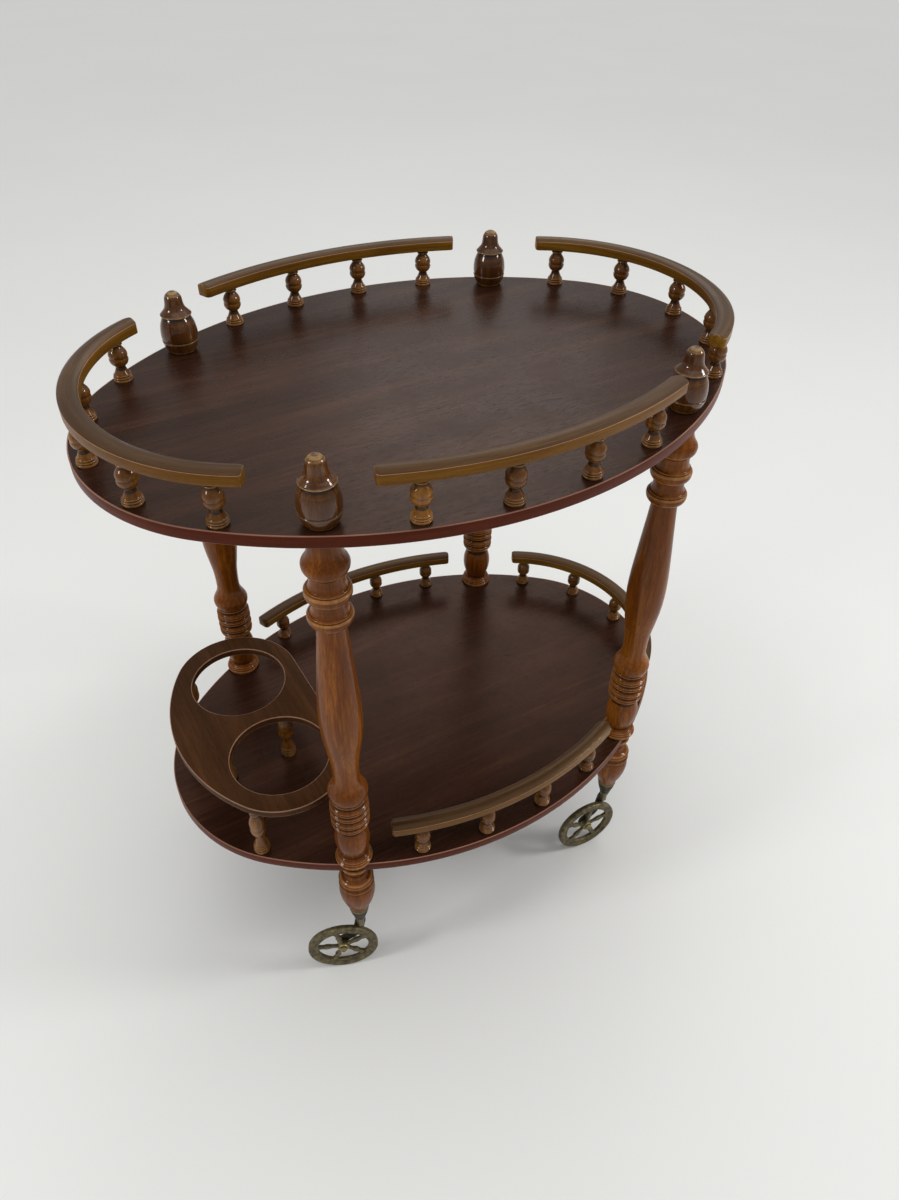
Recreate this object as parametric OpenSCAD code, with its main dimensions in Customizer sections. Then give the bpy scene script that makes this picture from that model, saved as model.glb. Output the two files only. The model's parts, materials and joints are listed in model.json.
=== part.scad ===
// Oval bar cart: two walnut boards on four turned legs, low galleries of turned
// spindles, a bottle holder on the lower board and four swivel casters.
// Millimetres, +Z up, the origin on the floor under the middle of the boards.

/* [Boards] */
// Length of the top board, along X
top_len = 670; // [600:5:820]
// Width of the top board, along Y
top_wid = 475; // [440:5:570]
// Radius of the two end arcs of the top board's outline, as a share of half its width
end_share = 0.7474; // [0.64:0.0002:0.78]
// Thickness of both boards
board_t = 11.5; // [9:0.5:18]
// How far the lower board stays inside the top board's outline
low_inset = 7.5; // [2:0.5:20]
// Thickness of the lipping round each board's edge
band_t = 1.2; // [0.8:0.1:3]

/* [Heights] */
// Length of a column between the two boards
column_h = 444.5; // [400:0.5:560]
// Length of a turned foot under the lower board
foot_h = 90.5; // [90:0.5:130]
// Height of a caster's ferrule
ferrule_h = 28; // [22:0.5:40]
// Bare stem that shows between the ferrule and the top of the wheel
stem_show = 14; // [12:0.5:25]
// Height of a finial above the top board
finial_h = 61; // [55:0.5:80]

/* [Legs] */
// Inset of the leg axes from the top board's edge
leg_inset = 19.5; // [17:0.5:22]
// Place of the leg axes along the cart, as a share of half the top board's length
leg_share = 0.5532; // [0.53:0.0002:0.57]
// Largest radius of the turnings
turn_r = 20.8; // [18:0.1:21.5]
// Radius of the dowels that join the turnings through the boards
dowel_r = 6; // [4:0.5:7]
// How far a dowel reaches into a turning
dowel_len = 24; // [12:1:28]

/* [Galleries] */
// Width of a gallery rail
rail_w = 17.5; // [14:0.5:19]
// Height of a rail's upright sides
rail_side_h = 9.5; // [7:0.5:14]
// Rise of the rail's rounded top over its sides
rail_dome = 3; // [1:0.5:5]
// Inset of the rails' centre line from the board's edge
rail_inset = 13.2; // [12:0.1:16]
// Height of the gap under a rail
rail_gap = 40; // [34:0.5:55]
// Length of the board's edge between a leg and the near end of a side rail
side_rail_gap = 44.8; // [40:0.1:58]
// Length of the board's edge between a leg and the near end of an end rail
end_rail_gap = 55; // [47:0.1:65]
// Length of the board's edge between a side rail's end and its last spindle
side_margin = 36.1; // [30:0.1:48]
// Length of the top board's end rails beyond their last spindles
end_margin = 26; // [20:0.1:50]
// Largest radius of a spindle
spindle_r = 9.2; // [7:0.1:9.5]
// Radius of the tenons at a spindle's ends
tenon_r = 2.6; // [2:0.1:3.4]
// Depth of the tenons in a board, a rail and the bottle holder
tenon_d = 6; // [3:0.5:7]

/* [Bottle holder] */
// Length of the holder's plate, on a cart 475 wide
hold_len = 286; // [260:1:300]
// Radius of the plate's rounded ends, on a cart 475 wide
hold_end_r = 72.7; // [70:0.1:80]
// Radius of the plate's long outer edge, on a cart 475 wide
hold_arc_r = 191.5; // [185:0.5:230]
// Inset of the plate's outer edge from the lower board's end
hold_inset = 11.7; // [10:0.1:20]
// Thickness of the plate
hold_t = 9; // [8:0.5:14]
// Height of the gap under the plate
hold_gap = 73.3; // [60:0.1:95]
// Radius of each bottle hole, on a cart 475 wide
bottle_r = 55; // [40:0.5:56]
// Distance of each bottle hole from the cart's long axis, on a cart 475 wide
bottle_y = 64.6; // [62:0.1:68]

/* [Casters] */
// Radius of a wheel
wheel_r = 43; // [38:0.5:52]
// Width of a wheel's rim
wheel_w = 8; // [7:0.5:10]
// How far a wheel trails behind its stem
trail = 24; // [22:0.5:30]
// Sideways offset of a wheel from its stem
wheel_off = 3; // [2:0.5:4]
// Thickness of the caster's side arm
arm_t = 4; // [3:0.5:5]
// Radius of the stem under the ferrule
stem_r = 4.3; // [4:0.1:6]
// Radius of the stem's spigot inside the ferrule
spigot_r = 3.4; // [2.5:0.1:3.6]
// Length of the spigot above the ferrule's mouth
spigot_len = 46; // [30:1:50]
// Radius of the wheel's axle
axle_r = 2.5; // [2:0.1:3.2]
// Number of spokes
spokes = 5; // [4:1:8]

/* [Hidden] */
$fn = 96;

// clearances
joint_clr = 0.1;     // dowels and tenons in their holes, per side
run_clr = 0.05;      // spigot and axle in their bores, per side
part_gap = 0.4;      // between faces that turn past each other
bottom_gap = 1;      // air at the bottom of a blind hole
arm_gap = 1;         // between the side arm and the wheel

// heights above the floor
ferrule_z = 2 * wheel_r + stem_show;
foot_z = ferrule_z + ferrule_h;
low_z = foot_z + foot_h;                 // underside of the lower board
low_top = low_z + board_t;
top_z = low_top + column_h;              // underside of the top board
top_top = top_z + board_t;

// the boards' outline: an oval of four arcs
oval_a = top_len / 2;
oval_b = top_wid / 2;
end_r = end_share * oval_b;
side_r = (oval_a * oval_a - 2 * oval_a * end_r + oval_b * oval_b) / (2 * (oval_b - end_r));
end_cx = oval_a - end_r;
side_cy = side_r - oval_b;
turn_ang = atan2(side_cy, end_cx);       // where the end arc meets the side arc

// the four corners, in the order front left, back left, back right, front right
leg_x = leg_share * oval_a;
leg_ang = acos(leg_x / (side_r - leg_inset));    // seen from the centre of the side arc
leg_y = (side_r - leg_inset) * sin(leg_ang) - side_cy;
LEGS = [[-leg_x, -leg_y], [-leg_x, leg_y], [leg_x, leg_y], [leg_x, -leg_y]];
HEADINGS = [158, 168, 150, 175];         // where each caster trails to, degrees
PHASES = [4, 40, 22, 26];                // how far each wheel is rolled round

// the bottle holder's plate, which keeps its share of the cart's width
low_a = oval_a - low_inset;
hold_k = top_wid / 475;
plate_end_r = hold_end_r * hold_k;
plate_arc_r = hold_arc_r * hold_k;
hold_ax = -(low_a - hold_inset) + plate_arc_r;
hold_yc = hold_len * hold_k / 2 - plate_end_r;
hold_xc = hold_ax - sqrt(pow(plate_arc_r - plate_end_r, 2) - hold_yc * hold_yc);
hold_z = low_top + hold_gap;
hold_edge = 7.2;                         // from a spindle's axis to the plate's edge
hold_ang = 139.5;                        // of the outer spindles, from the end's centre
far = 3 * top_len;

walnut = [0.23, 0.16, 0.14];
lipping = [0.42, 0.22, 0.17];
turned = [0.50, 0.31, 0.16];
dark_turned = [0.32, 0.19, 0.10];
railing = [0.38, 0.28, 0.16];
holder_brown = [0.36, 0.24, 0.16];
antique_brass = [0.45, 0.38, 0.22];
beech = [0.72, 0.56, 0.38];

// ---------- outlines ----------

// points of an arc round [x, y], from angle a0 to a1 in n steps
function arc(x, y, r, a0, a1, n) =
    [for (i = [0 : n]) let (a = a0 + (a1 - a0) * i / n) [x + r * cos(a), y + r * sin(a)]];

// one Catmull-Rom value between b and c
function cr(a, b, c, d, t) =
    0.5 * (2 * b + (c - a) * t + (2 * a - 5 * b + 4 * c - d) * t * t
        + (3 * b - a - 3 * c + d) * t * t * t);

// a smooth line through the points, n steps between each pair
function smooth(p, n) = let (m = len(p) - 1) concat([for (i = [0 : m - 1], j = [0 : n - 1])
    cr(p[max(i - 1, 0)], p[i], p[i + 1], p[min(i + 2, m)], j / n)], [p[m]]);

// radius and height pairs, raised by z and with radii scaled to the largest turning
function lift(p, z, k = 1) = [for (q = p) [q[0] * k, q[1] + z]];

// a solid of revolution from [radius, height] pairs, listed from the bottom up
module lathe(p) {
    rotate_extrude()
        polygon(concat([[0, p[0][1]]], p, [[0, p[len(p) - 1][1]]]));
}

// the boards' outline, inset from the top board's, as one closed line
function oval_line(inset) = let (
        side = arc(0, -side_cy, side_r - inset, turn_ang, 180 - turn_ang, 48),
        left = arc(-end_cx, 0, end_r - inset, 180 - turn_ang, 180 + turn_ang, 40),
        half = concat([for (i = [0 : 47]) side[i]], [for (i = [0 : 39]) left[i]]))
    concat(half, [for (q = half) [-q[0], -q[1]]]);

module oval(inset, t) linear_extrude(height = t) polygon(oval_line(inset));

// ---------- places of the spindles ----------

// a point on a side rail's centre line, at an angle from +X round the side arc's centre
function side_pt(inset, a, s) =
    [(side_r - inset) * cos(a), s * ((side_r - inset) * sin(a) - side_cy)];

// an angle from a length along the board's side
function edge_ang(len_s) = len_s / side_r * 180 / PI;

// an end rail's centre line: one arc through its middle and its two ends
function end_arc(inset) = let (
        e = side_pt(inset, leg_ang - edge_ang(end_rail_gap), 1),
        m = oval_a - inset,
        c = (m * m - e[0] * e[0] - e[1] * e[1]) / (2 * (m - e[0])))
    [c, m - c, atan2(e[1], e[0] - c)];   // centre's X, radius, half angle

// a point on an end rail's centre line, at a length along it from its middle
function end_pt(inset, len_s, s) = let (
        e = end_arc(inset),
        a = len_s / e[1] * 180 / PI)
    [s * (e[0] + e[1] * cos(a)), e[1] * sin(a)];

side_start = leg_ang + edge_ang(side_rail_gap);          // where a side rail starts
side_step = (90 - side_start - edge_ang(side_margin)) / 1.5;
top_end = end_arc(rail_inset);
end_step = (top_end[1] * top_end[2] * PI / 180 - end_margin) / 2;

function side_places(inset, s) =
    [for (i = [-1.5 : 1.5]) side_pt(inset, 90 - i * side_step, s)];
function end_places(inset, s) = [for (i = [-2 : 2]) end_pt(inset, i * end_step, s)];

low_rail_inset = low_inset + rail_inset;
hold_rr = plate_end_r - hold_edge;
HOLD_PLACES = [
    [hold_xc + hold_rr * cos(hold_ang), hold_yc + hold_rr * sin(hold_ang)],
    [hold_xc + hold_rr * cos(hold_ang), -hold_yc - hold_rr * sin(hold_ang)],
    [hold_xc - plate_end_r * 0.64, 0],
    [hold_xc + plate_end_r * 0.4, 0]];
TOP_PLACES = concat(side_places(rail_inset, -1), side_places(rail_inset, 1),
    end_places(rail_inset, -1), end_places(rail_inset, 1));
LOW_PLACES = concat(side_places(low_rail_inset, -1), side_places(low_rail_inset, 1),
    end_places(low_rail_inset, 1), HOLD_PLACES);

// blind or through holes at a list of places, from z upward
module holes(places, r, z, h) {
    for (p = places) translate([p[0], p[1], z]) cylinder(r = r, h = h);
}

// ---------- boards ----------

module board(inset) {
    difference() {
        oval(inset + band_t, board_t);
        holes(LEGS, dowel_r + joint_clr, -1, board_t + 2);
        if (inset == 0)
            holes(TOP_PLACES, tenon_r + joint_clr, board_t - tenon_d - bottom_gap, board_t);
        else
            holes(LOW_PLACES, tenon_r + joint_clr, board_t - tenon_d - bottom_gap, board_t);
    }
}

module band(inset) {
    difference() {
        oval(inset, board_t);
        translate([0, 0, -1]) oval(inset + band_t, board_t + 2);
    }
}

module top_board() color(walnut) translate([0, 0, top_z]) board(0);
module lower_board() color(walnut) translate([0, 0, low_z]) board(low_inset);
module top_band() color(lipping) translate([0, 0, top_z]) band(0);
module lower_band() color(lipping) translate([0, 0, low_z]) band(low_inset);

// ---------- legs ----------

turn_k = turn_r / 20.8;                  // the profiles below are drawn for 20.8

// rings and bulb at a column's lower end, from the board up
COLUMN_LOW = concat(
    [[17.5, 0], [19.6, 0.8]], arc(18.6, 3.6, 1.6, -45, 60, 3),
    [[18.3, 6.2], [18.3, 7]], arc(17.6, 9, 1.4, -40, 70, 3), [[15.2, 12.2]],
    smooth([[15.3, 16], [17.2, 24], [18.5, 33], [18.8, 41], [18.1, 49], [16.4, 56], [14.3, 61]], 2),
    smooth([[14.6, 62.6], [17.7, 66], [19.8, 71], [20.6, 77]], 2),
    [[20.2, 79.4], [18.9, 80.4]], arc(17.7, 83.6, 1.7, -40, 50, 3), [[17.4, 87.6]],
    smooth([[17.9, 89], [19.6, 93], [20.6, 97.5], [20.8, 101]], 2),
    [[20.2, 103.2], [19, 104.2]], arc(17.6, 107.2, 1.8, -35, 60, 3), [[15.5, 111.6]],
    smooth([[17.4, 112.2], [19.6, 114.4], [20.7, 117.6], [20.8, 121], [18.8, 126.8], [16.6, 131],
        [14.8, 135.6], [13.6, 142]], 2));
low_rings_h = 142;

// rings at a column's upper end, from the end of the shaft up
COLUMN_TOP = concat(
    [[13.3, 0], [14.6, 1.2]], smooth([[15.8, 2.4], [18.6, 4.6], [20.1, 8], [20.3, 10.8]], 2),
    [[19.4, 13.2], [17.6, 14], [16.6, 16], [15.6, 20], [15.4, 28]],
    smooth([[16.2, 29], [18.8, 31], [20.3, 34.4], [20.6, 37.6]], 2),
    [[19.6, 40.4], [17.8, 41.6], [16.4, 44], [15.5, 48], [15.4, 56]],
    smooth([[16.2, 57.8], [18.4, 59.8], [20, 63], [20.4, 66.4]], 2),
    smooth([[20, 68.6], [17.4, 73], [15, 78], [14.1, 83], [14, 90]], 2), [[15, 92], [15.2, 94.5]]);
top_rings_h = 94.5;

// the swelling shaft between them, as parts of its own length
SHAFT = [[13.6, 0.05], [14.6, 0.13], [17.3, 0.22], [19.7, 0.31], [20.8, 0.4], [20.8, 0.48],
    [19.8, 0.58], [18.1, 0.69], [16.2, 0.8], [14.4, 0.91], [13.5, 0.97]];

module column(i) {
    shaft_h = column_h - low_rings_h - top_rings_h;
    shaft = [for (q = smooth(SHAFT, 2)) [q[0] * turn_k, low_rings_h + q[1] * shaft_h]];
    color(turned) translate([LEGS[i][0], LEGS[i][1], low_top]) difference() {
        lathe(concat(lift(COLUMN_LOW, 0, turn_k), shaft,
            lift(COLUMN_TOP, column_h - top_rings_h, turn_k)));
        for (z = [-1, column_h - dowel_len - bottom_gap]) translate([0, 0, z])
            cylinder(r = dowel_r + joint_clr, h = dowel_len + bottom_gap + 1);
    }
}

// a finial's profile, as heights above the board
FINIAL = concat(
    [[12.2, 0], [13.6, 1.4]], smooth([[15.6, 5], [17.1, 9], [17.6, 12]], 2),
    [[16.8, 12.7], [16.8, 13.6]],
    smooth([[17.5, 14.4], [17.9, 19], [17.5, 24], [16.1, 29], [13.8, 33.6], [13.4, 36.2]], 2),
    [[13.1, 37.2], [14.7, 37.9]], arc(13.8, 39.6, 1.5, -45, 60, 3),
    smooth([[12.8, 43.2], [10.7, 45.6], [9.3, 48.6], [8.6, 52]], 2),
    arc(0, 52.6, 8.4, 8, 80, 6));

module finial(i) {
    k = finial_h / 61;
    color(dark_turned) translate([LEGS[i][0], LEGS[i][1], top_top]) difference() {
        lathe(concat([for (q = FINIAL) [q[0] * turn_k, q[1] * k]], [[0.3, finial_h]]));
        translate([0, 0, -1]) cylinder(r = dowel_r + joint_clr, h = dowel_len + bottom_gap + 1);
    }
}

// a foot's profile, as depths under the board, and the tip that sits in the ferrule
FOOT = concat(
    [[16.5, 0], [16.5, 2.4]], smooth([[14.6, 4.6], [12.4, 9.6], [11.5, 16], [12.4, 21.4]], 2),
    [[15, 24], [18.4, 25.4]], arc(18, 28, 1.8, -60, 60, 3), [[18.3, 31.4], [18.3, 34.2]],
    arc(18.4, 37, 1.7, -60, 50, 3), [[18.7, 39.8], [18.9, 40.8]],
    smooth([[19.9, 44], [20.5, 50], [20.1, 57], [18.9, 65], [16.5, 74], [13.7, 82]], 2));
tip_r = 8.4;                             // of the wooden tip inside the ferrule
tip_h = 14;
cup_r = 11.2;                            // of the foot where the ferrule's rim meets it

module foot(i) {
    color(turned) translate([LEGS[i][0], LEGS[i][1], low_z]) difference() {
        mirror([0, 0, 1])
            lathe(concat(lift(FOOT, 0, turn_k), [[cup_r, foot_h - 1.5], [cup_r, foot_h],
                [tip_r, foot_h], [tip_r, foot_h + tip_h]]));
        translate([0, 0, -dowel_len - bottom_gap])
            cylinder(r = dowel_r + joint_clr, h = dowel_len + bottom_gap + 1);
        translate([0, 0, -foot_h - tip_h - 1])
            cylinder(r = tube_r + joint_clr, h = tube_top - foot_z + tip_h + 1 + bottom_gap);
    }
}

// dowels through the boards, from turning to turning
module dowels(z) {
    color(beech) for (p = LEGS) translate([p[0], p[1], z - dowel_len])
        cylinder(r = dowel_r, h = board_t + 2 * dowel_len);
}

// ---------- galleries ----------

// a rail's section: upright sides under a low rounded top, at radius r
module rail_section(r) {
    dome_r = (rail_w * rail_w / 4 + rail_dome * rail_dome) / (2 * rail_dome);
    half = asin(rail_w / 2 / dome_r);
    polygon(concat([[r - rail_w / 2, 0], [r + rail_w / 2, 0]],
        arc(r, rail_side_h + rail_dome - dome_r, dome_r, 90 - half, 90 + half, 8)));
}

// a stretch of rail, from angle a0 to a1 at radius r
module rail_sweep(r, a0, a1) {
    rotate([0, 0, a0]) rotate_extrude(angle = a1 - a0) rail_section(r);
}

module side_rail(inset, z, s) {
    color(railing) translate([0, 0, z + rail_gap]) difference() {
        mirror([0, s < 0 ? 1 : 0, 0]) translate([0, -side_cy, 0])
            rail_sweep(side_r - inset, side_start, 180 - side_start);
        holes(side_places(inset, s), tenon_r + joint_clr, -1, tenon_d + bottom_gap + 1);
    }
}

module end_rail(inset, z, s) {
    e = end_arc(inset);
    color(railing) translate([0, 0, z + rail_gap]) difference() {
        mirror([s < 0 ? 1 : 0, 0, 0]) translate([e[0], 0, 0]) rail_sweep(e[1], -e[2], e[2]);
        holes(end_places(inset, s), tenon_r + joint_clr, -1, tenon_d + bottom_gap + 1);
    }
}

// a spindle's profile for a gap of 40 and a largest radius of 9.2
SPINDLE = concat(
    [[6.4, 0], [8.4, 1.2]], arc(7.6, 3.6, 1.6, -50, 60, 3), [[7.9, 6]],
    smooth([[7.4, 7.2], [5.6, 9.6], [3.9, 11.8]], 2), [[4.7, 12.6], [4.7, 13.6]],
    smooth([[4.1, 14.4], [6.6, 17], [8.5, 20.4], [9, 23.6]], 2), [[8.7, 26], [7.9, 26.7]],
    smooth([[7.7, 27.6], [6.6, 30], [4.6, 32.6], [4.3, 34.4]], 2), [[5.4, 36.4], [6.2, 38.6], [6.2, 40]]);

module spindles(places, z, gap) {
    k = spindle_r / 9.2;
    color(turned) for (p = places) translate([p[0], p[1], z]) {
        lathe(concat([[tenon_r, -tenon_d]], [[tenon_r, 0]],
            [for (q = SPINDLE) [q[0] * k, q[1] * gap / 40]],
            [[tenon_r, gap]], [[tenon_r, gap + tenon_d]]));
    }
}

// ---------- bottle holder ----------

module bottle_holder() {
    a = atan2(hold_yc, hold_xc - hold_ax);
    f = 2 * plate_arc_r;
    color(holder_brown) translate([0, 0, hold_z]) difference() {
        union() {
            for (s = [-1, 1]) translate([hold_xc, s * hold_yc, 0])
                cylinder(r = plate_end_r, h = hold_t);
            intersection() {
                translate([hold_ax, 0, 0]) cylinder(r = plate_arc_r, h = hold_t);
                linear_extrude(height = hold_t) polygon([
                    [hold_xc + plate_end_r, -hold_yc], [hold_xc + plate_end_r, hold_yc],
                    [hold_xc, hold_yc], [hold_ax + f * cos(a), f * sin(a)],
                    [hold_ax + f * cos(a), -f * sin(a)], [hold_xc, -hold_yc]]);
            }
        }
        for (s = [-1, 1]) translate([hold_xc, s * bottle_y * hold_k, -1])
            cylinder(r = bottle_r * hold_k, h = hold_t + 2);
        holes(HOLD_PLACES, tenon_r + joint_clr, -1, tenon_d + bottom_gap + 1);
    }
}

// ---------- casters ----------

tube_r = spigot_r + 1.5;                 // socket tube of the ferrule, inside the foot
tube_top = ferrule_z + spigot_len + 2;

// the caster's own frame: its stem on the axis, trailing along +X
module at_caster(i) translate([LEGS[i][0], LEGS[i][1], 0]) rotate([0, 0, HEADINGS[i]]) children();

module ferrule(i) {
    rim = cup_r + 0.6;
    mouth = stem_r + 1.4;
    color(antique_brass) translate([LEGS[i][0], LEGS[i][1], ferrule_z]) difference() {
        union() {
            lathe(concat([[mouth, 0], [mouth + 0.6, 1.4]],
                smooth([[mouth + 1, 4], [mouth + 2.6, 10], [rim - 1.8, 16], [rim - 0.9, 21]], 2),
                [[rim - 0.6, ferrule_h - 3], [rim, ferrule_h - 2], [rim, ferrule_h]]));
            cylinder(r = tube_r, h = spigot_len + 2);
        }
        translate([0, 0, ferrule_h - tip_h - joint_clr]) difference() {
            cylinder(r = tip_r + joint_clr, h = tip_h + 1);
            translate([0, 0, -1]) cylinder(r = tube_r, h = tip_h + 3);
        }
        translate([0, 0, -1]) cylinder(r = spigot_r + run_clr, h = spigot_len + 2);
    }
}

arm_y = wheel_off - wheel_w / 2 - arm_gap - arm_t;   // outer face of the side arm
stem_foot = 2 * wheel_r - 2;                          // underside of the stem's knuckle
hub_pad = 7.5;

// a disc lying in the wheel's plane, from face y0 for a length t
module disc(x, y0, z, r, t) translate([x, y0 + t, z]) rotate([90, 0, 0]) cylinder(r = r, h = t);

module fork(i) {
    knuckle_x = 0.5;
    color(antique_brass) at_caster(i) difference() {
        union() {
            translate([0, 0, ferrule_z - part_gap]) cylinder(r = spigot_r, h = spigot_len + part_gap);
            translate([0, 0, stem_foot + 2]) cylinder(r = stem_r, h = stem_show - part_gap);
            translate([0, 0, ferrule_z - part_gap - 3]) cylinder(r = stem_r + 1.2, h = 3);
            disc(knuckle_x, arm_y, stem_foot + 3, 6, arm_t);
            disc(trail, arm_y, wheel_r, hub_pad, arm_t);
            translate([0, arm_y + arm_t, 0]) rotate([90, 0, 0]) linear_extrude(height = arm_t)
                polygon([[knuckle_x - 6, stem_foot + 3], [knuckle_x + 6, stem_foot + 3],
                    [knuckle_x + 10, wheel_r + 24], [trail + 7, wheel_r + 3],
                    [trail - 7, wheel_r - 2], [knuckle_x - 1, wheel_r + 20]]);
            translate([-4.2, arm_y, stem_foot + 2]) cube([8.4, arm_t + 3, 6]);
        }
        disc(trail, arm_y - 1, wheel_r, axle_r + joint_clr, arm_t + 2);
    }
}

module axle(i) {
    out = wheel_off + hub_w / 2 + part_gap;
    color(antique_brass) at_caster(i) translate([trail, 0, wheel_r]) {
        translate([0, out, 0]) rotate([90, 0, 0]) cylinder(r = axle_r, h = out - arm_y);
        translate([0, out, 0]) rotate([-90, 0, 0])
            lathe(concat([[4.6, 0], [4.6, 1]], arc(0, -1.6, 5.3, 29, 80, 5), [[0.2, 3.7]]));
    }
}

hub_w = wheel_w + 1.2;
hub_r = 7;
rim_in = wheel_r * 0.73;                 // inside of the rim
rim_step = wheel_r * 0.87;               // where the rim's face steps back

// a spoke's outline, leaf-shaped, from the hub to the rim
module spoke(t) {
    l = rim_in - hub_r + 3;
    linear_extrude(height = t, center = true) polygon([
        [hub_r - 1.5, -2.2], [hub_r + l * 0.22, -1.9], [hub_r + l * 0.5, -3.5],
        [hub_r + l * 0.72, -2.6], [hub_r + l * 0.9, -3.4], [hub_r + l, -4],
        [hub_r + l, 4], [hub_r + l * 0.9, 3.4], [hub_r + l * 0.72, 2.6],
        [hub_r + l * 0.5, 3.5], [hub_r + l * 0.22, 1.9], [hub_r - 1.5, 2.2]]);
}

module wheel(i) {
    half = wheel_w / 2;
    face = half - 1.4;
    color(antique_brass) at_caster(i) translate([trail, wheel_off, wheel_r])
        rotate([90, 0, 0]) rotate([0, 0, PHASES[i]]) difference() {
            union() {
                rotate_extrude() polygon([
                    [rim_in, -face + 0.8], [rim_in + 0.8, -face], [rim_step - 0.4, -face],
                    [rim_step, -half], [wheel_r - 1.6, -half], [wheel_r - 0.5, -half + 0.7],
                    [wheel_r, -half + 2], [wheel_r, half - 2], [wheel_r - 0.5, half - 0.7],
                    [wheel_r - 1.6, half], [rim_step, half], [rim_step - 0.4, face],
                    [rim_in + 0.8, face], [rim_in, face - 0.8]]);
                for (n = [0 : spokes - 1]) rotate([0, 0, 360 * n / spokes]) spoke(wheel_w / 2);
                cylinder(r = hub_r, h = hub_w, center = true);
            }
            cylinder(r = axle_r + run_clr, h = hub_w + 2, center = true);
        }
}

// ---------- the nodes ----------

top_board();
top_band();
lower_board();
lower_band();
column(0);  // column_fl
column(1);  // column_bl
column(2);  // column_br
column(3);  // column_fr
finial(0);  // finial_fl
finial(1);  // finial_bl
finial(2);  // finial_br
finial(3);  // finial_fr
foot(0);  // foot_fl
foot(1);  // foot_bl
foot(2);  // foot_br
foot(3);  // foot_fr
dowels(top_z);  // top_dowels
dowels(low_z);  // lower_dowels
side_rail(rail_inset, top_top, -1);  // top_rail_front
side_rail(rail_inset, top_top, 1);  // top_rail_back
end_rail(rail_inset, top_top, -1);  // top_rail_left
end_rail(rail_inset, top_top, 1);  // top_rail_right
side_rail(low_rail_inset, low_top, -1);  // lower_rail_front
side_rail(low_rail_inset, low_top, 1);  // lower_rail_back
end_rail(low_rail_inset, low_top, 1);  // lower_rail_right
spindles(side_places(rail_inset, -1), top_top, rail_gap);  // top_spindles_front
spindles(side_places(rail_inset, 1), top_top, rail_gap);  // top_spindles_back
spindles(end_places(rail_inset, -1), top_top, rail_gap);  // top_spindles_left
spindles(end_places(rail_inset, 1), top_top, rail_gap);  // top_spindles_right
spindles(side_places(low_rail_inset, -1), low_top, rail_gap);  // lower_spindles_front
spindles(side_places(low_rail_inset, 1), low_top, rail_gap);  // lower_spindles_back
spindles(end_places(low_rail_inset, 1), low_top, rail_gap);  // lower_spindles_right
bottle_holder();
spindles(HOLD_PLACES, low_top, hold_gap);  // holder_spindles
ferrule(0);  // ferrule_fl
ferrule(1);  // ferrule_bl
ferrule(2);  // ferrule_br
ferrule(3);  // ferrule_fr
fork(0);  // fork_fl
fork(1);  // fork_bl
fork(2);  // fork_br
fork(3);  // fork_fr
axle(0);  // axle_fl
axle(1);  // axle_bl
axle(2);  // axle_br
axle(3);  // axle_fr
wheel(0);  // wheel_fl
wheel(1);  // wheel_bl
wheel(2);  // wheel_br
wheel(3);  // wheel_fr
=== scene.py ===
"""The looks of an oval bar cart: turned legs, spindle galleries, a bottle holder and brass casters.

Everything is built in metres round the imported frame. Sizes come from the frame's own boxes
wherever a part has one, and from named values in millimetres where it doesn't.
"""

import json
import logging
import math
from dataclasses import dataclass, field
from enum import Enum

import bmesh
import bpy
from mathutils import Matrix, Vector


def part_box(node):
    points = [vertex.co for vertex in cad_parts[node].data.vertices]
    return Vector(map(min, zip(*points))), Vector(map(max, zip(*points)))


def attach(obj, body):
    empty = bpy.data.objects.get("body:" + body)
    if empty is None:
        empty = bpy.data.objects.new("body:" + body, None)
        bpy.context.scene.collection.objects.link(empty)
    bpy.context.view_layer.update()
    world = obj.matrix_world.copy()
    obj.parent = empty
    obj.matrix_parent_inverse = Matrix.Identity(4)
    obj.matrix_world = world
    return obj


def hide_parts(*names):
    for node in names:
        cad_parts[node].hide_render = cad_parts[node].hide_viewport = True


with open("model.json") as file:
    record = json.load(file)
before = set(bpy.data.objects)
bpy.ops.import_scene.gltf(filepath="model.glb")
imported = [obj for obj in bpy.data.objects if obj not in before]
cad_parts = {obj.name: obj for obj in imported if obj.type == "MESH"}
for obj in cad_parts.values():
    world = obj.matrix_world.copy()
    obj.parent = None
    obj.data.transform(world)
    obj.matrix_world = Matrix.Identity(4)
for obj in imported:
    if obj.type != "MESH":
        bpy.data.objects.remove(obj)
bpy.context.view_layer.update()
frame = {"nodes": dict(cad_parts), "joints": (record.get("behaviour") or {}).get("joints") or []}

MM = 0.001
TAU = 2 * math.pi
UP = Vector((0, 0, 1))
WELD = 1e-6

Point = tuple[float, float]
Colour = tuple[float, float, float, float]

log = logging.getLogger("bar_cart")


# ---------- shader maths ----------


def tint(code: str) -> Colour:
    """Turns a display colour into the linear colour that a shader takes.

    Args:
        code: the colour as #rrggbb.

    Returns:
        Red, green, blue and alpha, from 0 to 1.
    """
    parts = [int(code[i : i + 2], 16) / 255 for i in (1, 3, 5)]
    linear = [c / 12.92 if c <= 0.04045 else ((c + 0.055) / 1.055) ** 2.4 for c in parts]
    return (*linear, 1.0)


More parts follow.
